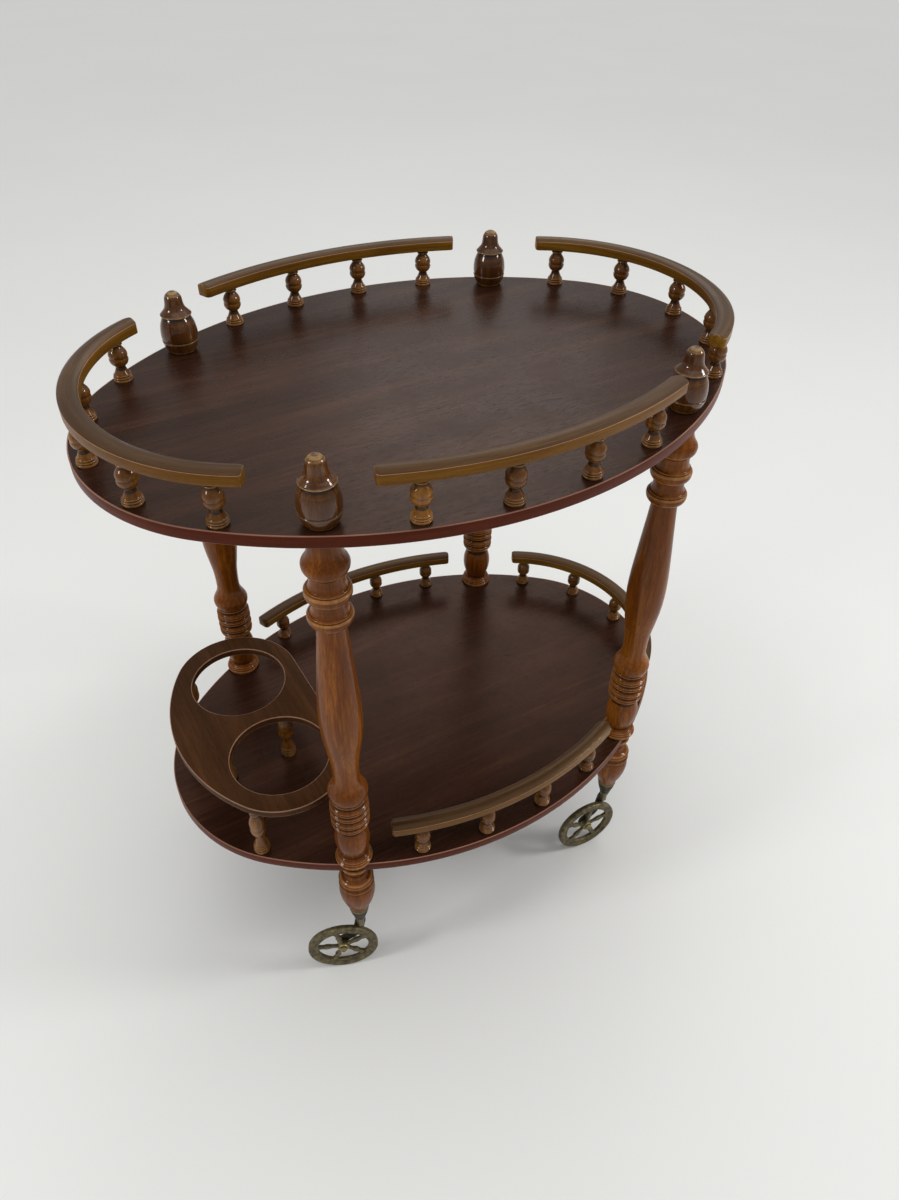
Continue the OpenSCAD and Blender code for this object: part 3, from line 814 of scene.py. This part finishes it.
    def build(self) -> None:
        """Turns the leg's three pieces and stands them in their places."""
        low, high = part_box("column_" + self.corner)
        widen = (high.x - low.x) / 2 / MM / self.widest
        height = (high.z - low.z) / MM
        body_h = height - self.low_h - self.top_h
        shaft = [(r, self.low_h + t * body_h) for r, t in smooth(list(self.shaft), 5)]
        top = lifted(self.column_top, height - self.top_h)
        column = lifted(self.column_low + shaft + top, 0, widen)
        self._turn("turned_column", "column", column, Finish.TURNED, "turned_legs", 6)
        low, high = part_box("finial_" + self.corner)
        stretch = (high.z - low.z) / MM / self.finial_h
        finial = [(r * widen, z * stretch) for r, z in self.finial]
        self._turn("turned_finial", "finial", finial, Finish.FINIAL, "finials", 5)
        self._foot(widen)

    def _turn(self, piece: str, node: str, profile: list[Point], finish: Finish, slot: str,
              reach: float) -> None:
        """Turns one piece that stands on its node's foot."""
        work = Workpiece(f"{piece}_{self.corner}")
        node = f"{node}_{self.corner}"
        work.lathe(profile, standing(node), self.segments, reach)
        work.finish("cart", slot, [node], [finish], CRISP_TURNING)

    def _foot(self, widen: float) -> None:
        """Turns the foot, which hangs from the lower board."""
        node = "foot_" + self.corner
        low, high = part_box(node)
        work = Workpiece("turned_foot_" + self.corner)
        tip = (low.z - high.z) / MM
        profile = [(r * widen, -z) for r, z in self.foot]
        profile += [(11, -90.5), (self.spigot_r, -90.6), (self.spigot_r, tip)]
        place = Matrix.Translation(((low.x + high.x) / 2, (low.y + high.y) / 2, high.z))
        work.lathe(profile[::-1], place, self.segments, self.foot_reach)
        work.finish("cart", "turned_legs", [node], [Finish.TURNED], CRISP_TURNING)


# ---------- galleries ----------


@dataclass
class Spindle:
    """A small baluster, drawn for a gap of 40 mm."""

    drawn_gap: float = 40.0
    tenon_r: float = 2.6
    tenon_d: float = 6.0
    profile: list[Point] = field(default_factory=lambda: (
        [(7.6, 0), (8.7, 0.5)] + ridge(8.4, 1.8) + [(8.1, 3)] + ridge(8.2, 4.1, 0.7) + [(7.8, 5.1)]
        + ridge(7.7, 6.1, 0.6) + smooth([(7.4, 7), (6.4, 9), (5.2, 11.6), (4.6, 14)], 4)
        + [(4.6, 14.6)] + smooth([(5.2, 15.2), (7.4, 17.2), (8.8, 20), (9, 22.4)], 4)
        + [(8.5, 23.4), (8.4, 23.9), (8.5, 24.4)]
        + smooth([(8.9, 25.2), (8.9, 27.4), (7.9, 30.2), (6, 33), (5.1, 34.6)], 4)
        + [(5.1, 35.3), (5.8, 35.7)] + ridge(5.6, 36.6, 0.7) + [(5.4, 37.6)]
        + smooth([(5.3, 38.2), (5.6, 39.2), (6.2, 40)], 3)))

    def turn(self, work: Workpiece, foot: Vector, gap: float) -> None:
        """Turns a spindle between two surfaces, with its tenons.

        Args:
            work: the mesh that takes it.
            foot: where it stands.
            gap: the height of the gap that it spans, in metres.
        """
        stretch = gap / MM / self.drawn_gap
        body = [(r, z * stretch) for r, z in self.profile]
        top = body[-1][1]
        line = [(self.tenon_r, -self.tenon_d), (self.tenon_r, 0)] + body
        line = line + [(self.tenon_r, top), (self.tenon_r, top + self.tenon_d)]
        work.lathe(line, Matrix.Translation(foot), 40, 4.5)


@dataclass
class Rail:
    """A gallery rail: a stretch of ring with upright sides, a low crown and eased ends."""

    width: float = 17.5 * MM
    side_h: float = 9.5 * MM
    end_round: float = 4.5 * MM
    end_steps: int = 8
    crown_steps: int = 10
    step_len: float = 6 * MM
    arris: float = 0.6

    def sweep(self, work: Workpiece, centre: Vector, radius: float, start: float, angle: float,
              crown: float) -> None:
        """Sweeps the rail along its arc.

        Args:
            work: the mesh that takes it.
            centre: the arc's centre, at the height of the rail's underside.
            radius: the centre line's radius, in metres.
            start: the first end's angle from +X, in radians.
            angle: how far it turns, in radians.
            crown: the rise of its top over its sides, in metres.
        """
        section = self._section(work, crown)
        out = Vector((math.cos(start), math.sin(start), 0))
        along = Vector((-out.y, out.x, 0))
        place = Matrix.Translation(centre + out * radius) @ Matrix((
            (out.x, along.x, 0, 0), (out.y, along.y, 0, 0), (0, 0, 1, 0), (0, 0, 0, 1)))
        bmesh.ops.transform(work.bm, matrix=place, verts=section.verts[:])
        end = self.end_round / radius
        long = angle - 2 * end
        runs = [(end, self.end_steps), (long, round(long * radius / self.step_len)),
                (end, self.end_steps)]
        geom = [section, *section.edges, *section.verts]
        for turn, steps in runs:
            geom = work.spin(geom, centre, turn, steps)
        bmesh.ops.remove_doubles(work.bm, verts=work.bm.verts[:], dist=WELD / 10)
        self._shape_ends(work, centre, radius, start, angle)

    def _section(self, work: Workpiece, crown: float) -> bmesh.types.BMFace:
        """Draws the upright section, at the origin and across X."""
        half = self.width / 2
        crown_r = (half * half + crown * crown) / (2 * crown)
        spread = 2 * math.asin(half / crown_r)
        low = [work.bm.verts.new((s * half, 0, 0)) for s in (-1, 1)]
        first = work.bm.verts.new((half, 0, self.side_h))
        centre = Vector((0, 0, self.side_h + crown - crown_r))
        work.spin([first], centre, -spread, self.crown_steps, axis=Vector((0, 1, 0)))
        tops = sorted((v for v in work.bm.verts if v not in low), key=lambda v: -v.co.x)
        work.bm.edges.new((low[1], tops[0]))
        work.bm.edges.new((low[0], tops[-1]))
        work.bm.edges.new(low)
        return bmesh.ops.contextual_create(work.bm, geom=work.bm.edges[:])["faces"][0]

    def _shape_ends(self, work: Workpiece, centre: Vector, radius: float, start: float,
                    angle: float) -> None:
        """Narrows the rail towards its ends and lays its grain along it."""
        for v in work.bm.verts:
            flat = Vector((v.co.x - centre.x, v.co.y - centre.y))
            turned = (math.atan2(flat.y, flat.x) - start) % TAU
            turned = turned - TAU if turned > math.pi + angle / 2 else turned
            s = min(turned, angle - turned) * radius
            off = flat.length - radius
            if s < self.end_round:
                left = self.end_round - s
                inset = self.end_round - math.sqrt(max(0, self.end_round**2 - left**2))
                off = off * (1 - 2 * inset / self.width)
                flat = flat.normalized() * (radius + off)
                v.co.x, v.co.y = centre.x + flat.x, centre.y + flat.y
            v[work.lay] = Vector((turned * radius + start, off, v.co.z))


@dataclass
class Gallery:
    """A rail on its row of spindles."""

    level: str
    side: str
    rail: Rail
    spindle: Spindle
    fit_rounds: int = 60
    fit_pull: float = 0.6

    def build(self) -> None:
        """Builds the rail and its spindles."""
        node = f"{self.level}_rail_{self.side}"
        low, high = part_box(node)
        crown = high.z - low.z - self.rail.side_h
        centre, radius, start, angle = self._arc(low, high)
        work = Workpiece(f"{self.level}_gallery_rail_{self.side}")
        self.rail.sweep(work, centre, radius, start, angle, crown)
        self._paint_side_reflection(work)
        crisp = [e for e in work.bm.edges if len(e.link_faces) == 2
                 and e.calc_face_angle(0) > math.radians(CRISP_PLATE)]
        # Eased upper arrises take the pale painted highlight, lower ones the sides' painted
        # reflection.
        for f in work.ease(crisp, self.rail.arris, 2):
            f.material_index = 2 if f.calc_center_median().z > low.z + self.rail.side_h / 2 else 1
        finishes = [Finish.RAIL_TOP, Finish.RAIL_SIDE, Finish.RAIL_ARRIS]
        work.finish("cart", "gallery_rails", [node], finishes, CRISP_TURNING)
        spindle_row(f"{self.level}_turned_spindles_{self.side}",
                    f"{self.level}_spindles_{self.side}", self.spindle, low.z)

    def _arc(self, low: Vector, high: Vector) -> tuple[Vector, float, float, float]:
        """Finds the arc that a rail's box holds.

        Args:
            low: the box's lowest corner.
            high: the box's highest corner.

        Returns:
            The arc's centre, its centre line's radius, its first angle and how far it turns.
        """
        across = self.side in ("left", "right")
        sign = -1 if self.side in ("left", "front") else 1
        half = (high.y - low.y) / 2 if across else (high.x - low.x) / 2
        near, far = (low.x, high.x) if across else (low.y, high.y)
        near, far = sorted((abs(near), abs(far)))
        w = self.rail.width
        deep = far - near
        radius = (half * half + (deep - w) ** 2) / (2 * (deep - w)) if deep > w else half
        for _ in range(self.fit_rounds):
            angle = math.asin(half / (radius + w / 2))
            drop = radius + w / 2 - (radius - w / 2) * math.cos(angle)
            radius *= 1 + self.fit_pull * (drop - deep) / deep
        out = radius + w / 2
        angle = math.asin(half / out)
        axis = Vector((sign, 0, 0)) if across else Vector((0, sign, 0))
        centre = axis * (far - out)
        centre.z = low.z
        return centre, radius, math.atan2(axis.y, axis.x) - angle, 2 * angle

    def _paint_side_reflection(self, work: Workpiece) -> None:
        """Gives the upright sides the lighter golden copy of the rail's wood, a painted reflection."""
        work.bm.normal_update()
        for f in work.bm.faces:
            f.material_index = 1 if abs(f.normal.z) < 0.5 else 0


def islands(node: str) -> list[Point]:
    """Finds the upright axes of a node's separate turnings.

    Args:
        node: a node that holds several turnings of the same size.

    Returns:
        Each turning's place, from one end of the row to the other.
    """
    bm = bmesh.new()
    bm.from_mesh(frame["nodes"][node].data)
    bmesh.ops.remove_doubles(bm, verts=bm.verts[:], dist=1e-6)
    left = set(bm.verts)
    found = []
    while left:
        queue = [left.pop()]
        part = []
        while queue:
            v = queue.pop()
            part.append(v.co)
            for e in v.link_edges:
                w = e.other_vert(v)
                if w in left:
                    left.remove(w)
                    queue.append(w)
        xs = [c.x for c in part]
        ys = [c.y for c in part]
        found.append(((min(xs) + max(xs)) / 2, (min(ys) + max(ys)) / 2))
    bm.free()
    return sorted(found)


def spindle_row(name: str, node: str, spindle: Spindle, top: float) -> None:
    """Turns a node's spindles, each where the frame has it.

    Args:
        name: the piece's name.
        node: the CAD node that they stand for.
        spindle: their pattern.
        top: the height of the surface over them, in metres.
    """
    foot_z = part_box(node)[0].z + spindle.tenon_d * MM
    work = Workpiece(name)
    for x, y in islands(node):
        spindle.turn(work, Vector((x, y, foot_z)), top - foot_z)
    work.finish("cart", "spindles", [node], [Finish.SPINDLE], CRISP_TURNING)


# ---------- bottle holder ----------


@dataclass
class BottleHolder:
    """A plate with two round holes, on four spindles over the lower board."""

    end_r: float = 72.7 * MM
    outer_r: float = 191.5 * MM
    bottle_r: float = 55 * MM
    bottle_y: float = 64.6 * MM
    arris: float = 0.9
    corner_steps: int = 40
    side_steps: int = 48
    hole_steps: int = 96
    spindle: Spindle = field(default_factory=Spindle)

    def build(self) -> None:
        """Builds the plate and the spindles under it."""
        low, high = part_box("bottle_holder")
        work = Workpiece("holder_plate")
        x = high.x - self.end_r
        y = high.y - self.end_r
        edges = self._outline(work, x, y, low)
        for s in (-1, 1):
            middle = Matrix.Translation((x, s * self.bottle_y, low.z))
            hole = bmesh.ops.create_circle(work.bm, cap_ends=False, segments=self.hole_steps,
                                           radius=self.bottle_r, matrix=middle)
            edges += list({e for v in hole["verts"] for e in v.link_edges})
        faces = [g for g in bmesh.ops.triangle_fill(work.bm, use_beauty=True, use_dissolve=False,
                                                    edges=edges)["geom"]
                 if isinstance(g, bmesh.types.BMFace)]
        work.slab(faces, high.z - low.z)
        # The eased arrises take the pale painted highlight.
        for f in work.ease(work.level_edges(), self.arris):
            f.material_index = 1
        work.finish("cart", "holder_plate", ["bottle_holder"], [Finish.HOLDER, Finish.ARRIS],
                    CRISP_PLATE)
        spindle_row("holder_turned_spindles", "holder_spindles", self.spindle, low.z)

    def _outline(self, work: Workpiece, x: float, y: float, low: Vector) -> list:
        """Draws the plate's outline, from the inner side's back corner all the way round."""
        centre_x = low.x + self.outer_r
        lean = math.atan2(y, x - centre_x)
        start = Vector((x + self.end_r, y, low.z))
        ends = [Vector((x, s * y, low.z)) for s in (1, -1)]
        middle = Vector((centre_x, 0, low.z))
        outer = 2 * (math.pi - lean)
        return work.swept_loop(start, [(ends[0], lean, self.corner_steps),
                                       (middle, outer, self.side_steps),
                                       (ends[1], lean, self.corner_steps)])


# ---------- casters ----------


@dataclass
class Caster:
    """A swivel caster: a ferrule, a stem with a side arm, an axle and a spoked wheel."""

    corner: str
    phase: float
    arm_t: float = 4.0
    arm_gap: float = 1.0
    wheel_w: float = 8.0
    trail: float = 24.0
    stem_r: float = 4.3
    spigot_r: float = 3.4
    axle_r: float = 2.5
    spokes: int = 5
    spoke_t: float = 3.8
    spoke_arris: float = 0.8

    def __post_init__(self) -> None:
        """Takes the caster's place and heading from the record's joints."""
        joints = {j["name"]: j for j in frame["joints"]}
        swivel = joints["swivel_" + self.corner]
        spin = joints["spin_" + self.corner]
        self.stem = Vector(swivel["pos_m"])
        self.hub = Vector(spin["pos_m"])
        axis = Vector(spin["axis"])
        along = Vector((axis.y, -axis.x, 0))
        self.turned = Matrix(((along.x, axis.x, 0, 0), (along.y, axis.y, 0, 0), (0, 0, 1, 0),
                              (0, 0, 0, 1)))
        self.wheel_r = self.hub.z / MM
        self.offset = (self.hub - self.stem).dot(axis) / MM

    def build(self) -> None:
        """Builds the caster's four pieces."""
        self._ferrule()
        self._fork()
        self._axle()
        self._wheel()

    def _in_place(self, x: float, y: float, z: float) -> Matrix:
        """Gives a place in the caster's directions, in millimetres from the floor under its stem."""
        ground = Matrix.Translation((self.stem.x, self.stem.y, 0))
        return ground @ self.turned @ Matrix.Translation((x * MM, y * MM, z * MM))

    def _arm_y(self) -> float:
        """Gives how far across the arm's outer face lies, in millimetres."""
        return self.offset - self.wheel_w / 2 - self.arm_gap - self.arm_t

    def _ferrule(self) -> None:
        """Turns the brass cup under the foot."""
        node = "ferrule_" + self.corner
        low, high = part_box(node)
        rim = (high.x - low.x) / 2 / MM
        mouth = self.stem_r + 1.4
        work = Workpiece("brass_ferrule_" + self.corner)
        profile = ([(mouth - 0.8, 0), (mouth + 0.1, 0.3), (mouth + 0.7, 1.4)]
                   + smooth([(mouth + 1, 4), (mouth + 2.6, 10), (rim - 1.8, 16), (rim - 0.9, 21)], 5)
                   + [(rim - 0.7, 24.2), (rim - 0.2, 25), (rim, 25.8), (rim, 27.2), (rim - 0.4, 27.9),
                      (rim - 1.4, 28)])
        work.lathe(profile, standing(node), 64, 5)
        work.finish("cart", "ferrule_brass", [node], [Finish.DARK_BRASS], CRISP_TURNING)

    def _fork(self) -> None:
        """Builds the stem, its knuckle and the side arm that reaches down to the axle."""
        node = "fork_" + self.corner
        work = Workpiece("caster_fork_" + self.corner)
        low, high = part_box(node)
        top = high.z / MM
        collar = self.stem.z / MM - 0.4
        foot = 2 * self.wheel_r - 2
        r = self.stem_r
        stem = [(r - 0.7, foot), (r, foot + 0.7), (r, collar - 3.6), (r + 0.8, collar - 3),
                (r + 1.2, collar - 2.4), (r + 1.2, collar - 0.4), (r + 0.8, collar),
                (self.spigot_r, collar), (self.spigot_r, top - 0.5), (self.spigot_r - 0.5, top)]
        work.lathe(stem, self._in_place(0, 0, 0), 40, 5)
        self._arm(work, self._arm_y(), foot)
        work.finish("caster_" + self.corner, "caster_brass", [node], [Finish.DARK_BRASS], CRISP_PLATE)

    def _arm(self, work: Workpiece, arm_y: float, foot: float) -> None:
        """Adds the flat side arm, drawn lying and then stood up beside the wheel."""
        lie = Workpiece("arm_blank")
        w = self.wheel_r
        left = smooth([(-5.6, foot + 6), (-6, foot + 1), (-2.2, w + 26), (4, w + 12),
                       (self.trail - 7.4, w + 1)], 6)
        hub = arc(self.trail, w, 7.5, 188, 382, 20)
        right = smooth([(self.trail + 6.2, w + 6), (13.4, w + 20), (8.6, w + 32), (6.4, foot + 4),
                        (4.6, foot + 8.6)], 6)
        top = arc(0, foot + 6, 5.6, 45, 135, 6)
        outline = left + hub + right + top
        verts = [lie.bm.verts.new((x * MM, z * MM, 0)) for x, z in outline]
        face = lie.bm.faces.new(verts)
        lie.slab([face], self.arm_t * MM)
        lie.ease(lie.level_edges(), 0.9)
        bmesh.ops.recalc_face_normals(lie.bm, faces=lie.bm.faces)
        stand = Matrix.Rotation(math.pi / 2, 4, "X")
        place = self._in_place(0, arm_y + self.arm_t, 0) @ stand
        bmesh.ops.transform(lie.bm, matrix=place, verts=lie.bm.verts[:])
        blank = bpy.data.meshes.new("arm_blank")
        lie.bm.to_mesh(blank)
        lie.bm.free()
        work.bm.from_mesh(blank)
        bpy.data.meshes.remove(blank)
        knuckle = bmesh.ops.create_cube(work.bm, size=1)["verts"]
        size = Matrix.Diagonal((8.4 * MM, (self.arm_t + 3) * MM, 7 * MM, 1))
        middle = self._in_place(0, arm_y + (self.arm_t + 3) / 2, foot + 5.4)
        bmesh.ops.transform(work.bm, matrix=middle @ size, verts=knuckle)
        work.ease(list({e for v in knuckle for e in v.link_edges}), 1.2)

    def _axle(self) -> None:
        """Turns the axle with its domed head and its riveted end."""
        node = "axle_" + self.corner
        work = Workpiece("axle_pin_" + self.corner)
        out = self.offset + (self.wheel_w + 1.2) / 2 + 0.4
        inner = self._arm_y()
        r = self.axle_r
        profile = [(r - 0.3, inner), (r, inner + 0.3), (r, out), (4.2, out), (4.6, out + 0.4)]
        profile = profile + [(4.6, out + 0.9)] + arc(0, out - 1.6, 5.3, 29, 84, 8)
        lay = self._in_place(self.trail, 0, self.wheel_r) @ Matrix.Rotation(-math.pi / 2, 4, "X")
        work.lathe(profile, lay, 40, 3)
        work.finish("caster_" + self.corner, "caster_brass", [node], [Finish.BRASS], CRISP_TURNING)

    def _wheel(self) -> None:
        """Builds the stepped rim, the hub and the leaf-shaped spokes of a wheel."""
        node = "wheel_" + self.corner
        work = Workpiece("spoked_wheel_" + self.corner)
        place = self._in_place(self.trail, self.offset, self.wheel_r)
        phase = Matrix.Rotation(math.radians(self.phase), 4, "Z")
        lay = place @ Matrix.Rotation(math.pi / 2, 4, "X") @ phase
        half = self.wheel_w / 2
        r = self.wheel_r
        inner, step = r * 0.73, r * 0.87
        side = [(inner, 0), (inner, 1.6), (inner + 0.3, 2.3), (inner + 1, 2.6), (inner + 2.2, 2.6),
                (inner + 2.8, 2.2), (step - 1.6, 2.2), (step - 0.8, 2.6), (step - 0.2, half - 0.5),
                (step + 0.6, half), (r - 1.8, half), (r - 0.9, half - 0.5), (r - 0.2, half - 1.6)]
        profile = side + [(r, 0)] + [(x, -y) for x, y in side[:0:-1]]
        work.ring(profile, lay, 112)
        hub = [(3, -4.6), (5.6, -4.6), (6.6, -4.1), (7, -3), (7, 3), (6.6, 4.1), (5.6, 4.6), (3, 4.6)]
        work.lathe(hub, lay, 48, 4)
        for n in range(self.spokes):
            self._spoke(work, lay @ Matrix.Rotation(TAU * n / self.spokes, 4, "Z"), inner)
        work.finish("wheel_" + self.corner, "wheel_brass", [node], [Finish.BRASS])

    def _spoke(self, work: Workpiece, place: Matrix, inner: float) -> None:
        """Adds one leaf-shaped spoke with a raised middle."""
        start, span = 5.5, inner - 4.5
        half = smooth([(0, 2.3), (0.22, 1.8), (0.38, 2.5), (0.5, 3.6), (0.62, 3.1), (0.74, 2.2),
                       (0.88, 3.1), (1, 4.2)], 4)
        upper = [(start + t * span, y) for t, y in half]
        outline = upper + [(x, -y) for x, y in reversed(upper)]
        before = set(work.bm.verts)
        thick = self.spoke_t * MM
        verts = [work.bm.verts.new((x * MM, y * MM, -thick / 2)) for x, y in outline]
        work.slab([work.bm.faces.new(verts)], thick)
        work.ease([e for e in work.level_edges() if e.verts[0] not in before], self.spoke_arris)
        bmesh.ops.transform(work.bm, matrix=place, verts=work.added(before))


# ---------- studio ----------


@dataclass(frozen=True)
class Softbox:
    """A square soft light that faces a point of the cart."""

    name: str
    place: tuple[float, float, float]
    size: float
    power: float
    aim: tuple[float, float, float] = (0.0, 0.0, 0.4)

    def hang(self) -> None:
        """Adds the light."""
        lamp = bpy.data.lights.new(self.name, "AREA")
        lamp.shape = "SQUARE"
        lamp.size = self.size
        lamp.energy = self.power
        holder = put_in_scene(self.name, lamp)
        holder.location = self.place
        away = Vector(self.place) - Vector(self.aim)
        holder.rotation_euler = away.to_track_quat("Z", "Y").to_euler()


@dataclass(frozen=True)
class Studio:
    """A pale floor, soft light and the camera."""

    eye: tuple[float, float, float] = (-0.3895, -0.7044, 1.0952)
    azimuth: float = -31.13
    elevation: float = 40.95
    roll: float = 1.07
    lens: float = 26.77
    floor_r: float = 40.0
    room_strength: float = 0.38
    sky_power: float = 1.4
    sky_spread: float = 100.0
    sky_from: tuple[float, float, float] = (0.2, 0.1, 1.0)

    def build(self) -> None:
        """Sets up the floor, the lights and the camera."""
        self._floor()
        self._sky()
        for box in (Softbox("left_box", (-2.2, 0.1, 1.7), 0.45, 15),
                    Softbox("right_box", (1.9, -1.2, 1.8), 0.5, 19),
                    Softbox("far_box", (1.5, 2.3, 2.5), 1.2, 5)):
            box.hang()
        self._skylight()
        self._camera()

    def _floor(self) -> None:
        """Lays the floor."""
        bm = bmesh.new()
        bmesh.ops.create_circle(bm, cap_ends=True, segments=64, radius=self.floor_r)
        mesh = bpy.data.meshes.new("floor")
        bm.to_mesh(mesh)
        bm.free()
        floor = put_in_scene("floor", mesh)
        tree = FinishTree("pale_floor")
        place = tree.make("TexCoord", {}, {}, "Object")
        cloud = tree.noise(place, (1.5, 1.5, 1.5), 3, 0.5)
        tree.wire(Base_Color=tree.mix(tint("#e4e4e2"), tint("#e9e9e7"), cloud))
        tree.fix(Roughness=0.6)
        mesh.materials.append(tree.material)

    def _sky(self) -> None:
        """Lights the room evenly from all round."""
        world = bpy.data.worlds.new("room")
        world.use_nodes = True
        back = world.node_tree.nodes["Background"]
        back.inputs["Color"].default_value = tint("#f2f2f0")
        back.inputs["Strength"].default_value = self.room_strength
        bpy.context.scene.world = world

    def _skylight(self) -> None:
        """Adds a very broad soft light from overhead, which leaves the lower board in shade."""
        lamp = bpy.data.lights.new("skylight", "SUN")
        lamp.energy = self.sky_power
        lamp.angle = math.radians(self.sky_spread)
        holder = put_in_scene("skylight", lamp)
        holder.rotation_euler = Vector(self.sky_from).to_track_quat("Z", "Y").to_euler()

    def _camera(self) -> None:
        """Stands the camera in front of the cart's left end, looking down at it."""
        lens = bpy.data.cameras.new("camera")
        lens.lens = self.lens
        lens.sensor_width = 36
        lens.clip_start = 0.05
        lens.clip_end = 200
        holder = put_in_scene("camera", lens)
        a, e = math.radians(self.azimuth), math.radians(self.elevation)
        back = Vector((math.sin(a) * math.cos(e), -math.cos(a) * math.cos(e), math.sin(e)))
        right = UP.cross(back).normalized()
        top = back.cross(right)
        c, s = math.cos(math.radians(self.roll)), math.sin(math.radians(self.roll))
        across, upward = right * c + top * s, top * c - right * s
        turned = Matrix((across, upward, back)).transposed().to_4x4()
        holder.matrix_world = Matrix.Translation(self.eye) @ turned
        bpy.context.scene.camera = holder
        bpy.context.scene.view_settings.view_transform = "Standard"


# ---------- the cart ----------


def main() -> None:
    """Builds the studio and the whole cart."""
    logging.basicConfig(level=logging.INFO, format="%(name)s: %(message)s")
    Studio().build()
    end_r = Oval.end_r
    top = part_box("top_band")[1]
    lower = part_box("lower_band")[1]
    Board("top", end_r).build()
    Board("lower", end_r - (top.x - lower.x)).build()
    for node in ("top_dowels", "lower_dowels"):
        keep_in_cad(node, Finish.DOWEL)
    for corner in ("fl", "bl", "br", "fr"):
        Leg(corner).build()
    rail, spindle = Rail(), Spindle()
    galleries = {"top": ("front", "back", "left", "right"), "lower": ("front", "back", "right")}
    for level, sides in galleries.items():
        for side in sides:
            Gallery(level, side, rail, spindle).build()
    BottleHolder().build()
    for corner, phase in (("fl", 4), ("bl", 40), ("br", 22), ("fr", 26)):
        Caster(corner, phase).build()


if __name__ == "__main__":
    main()
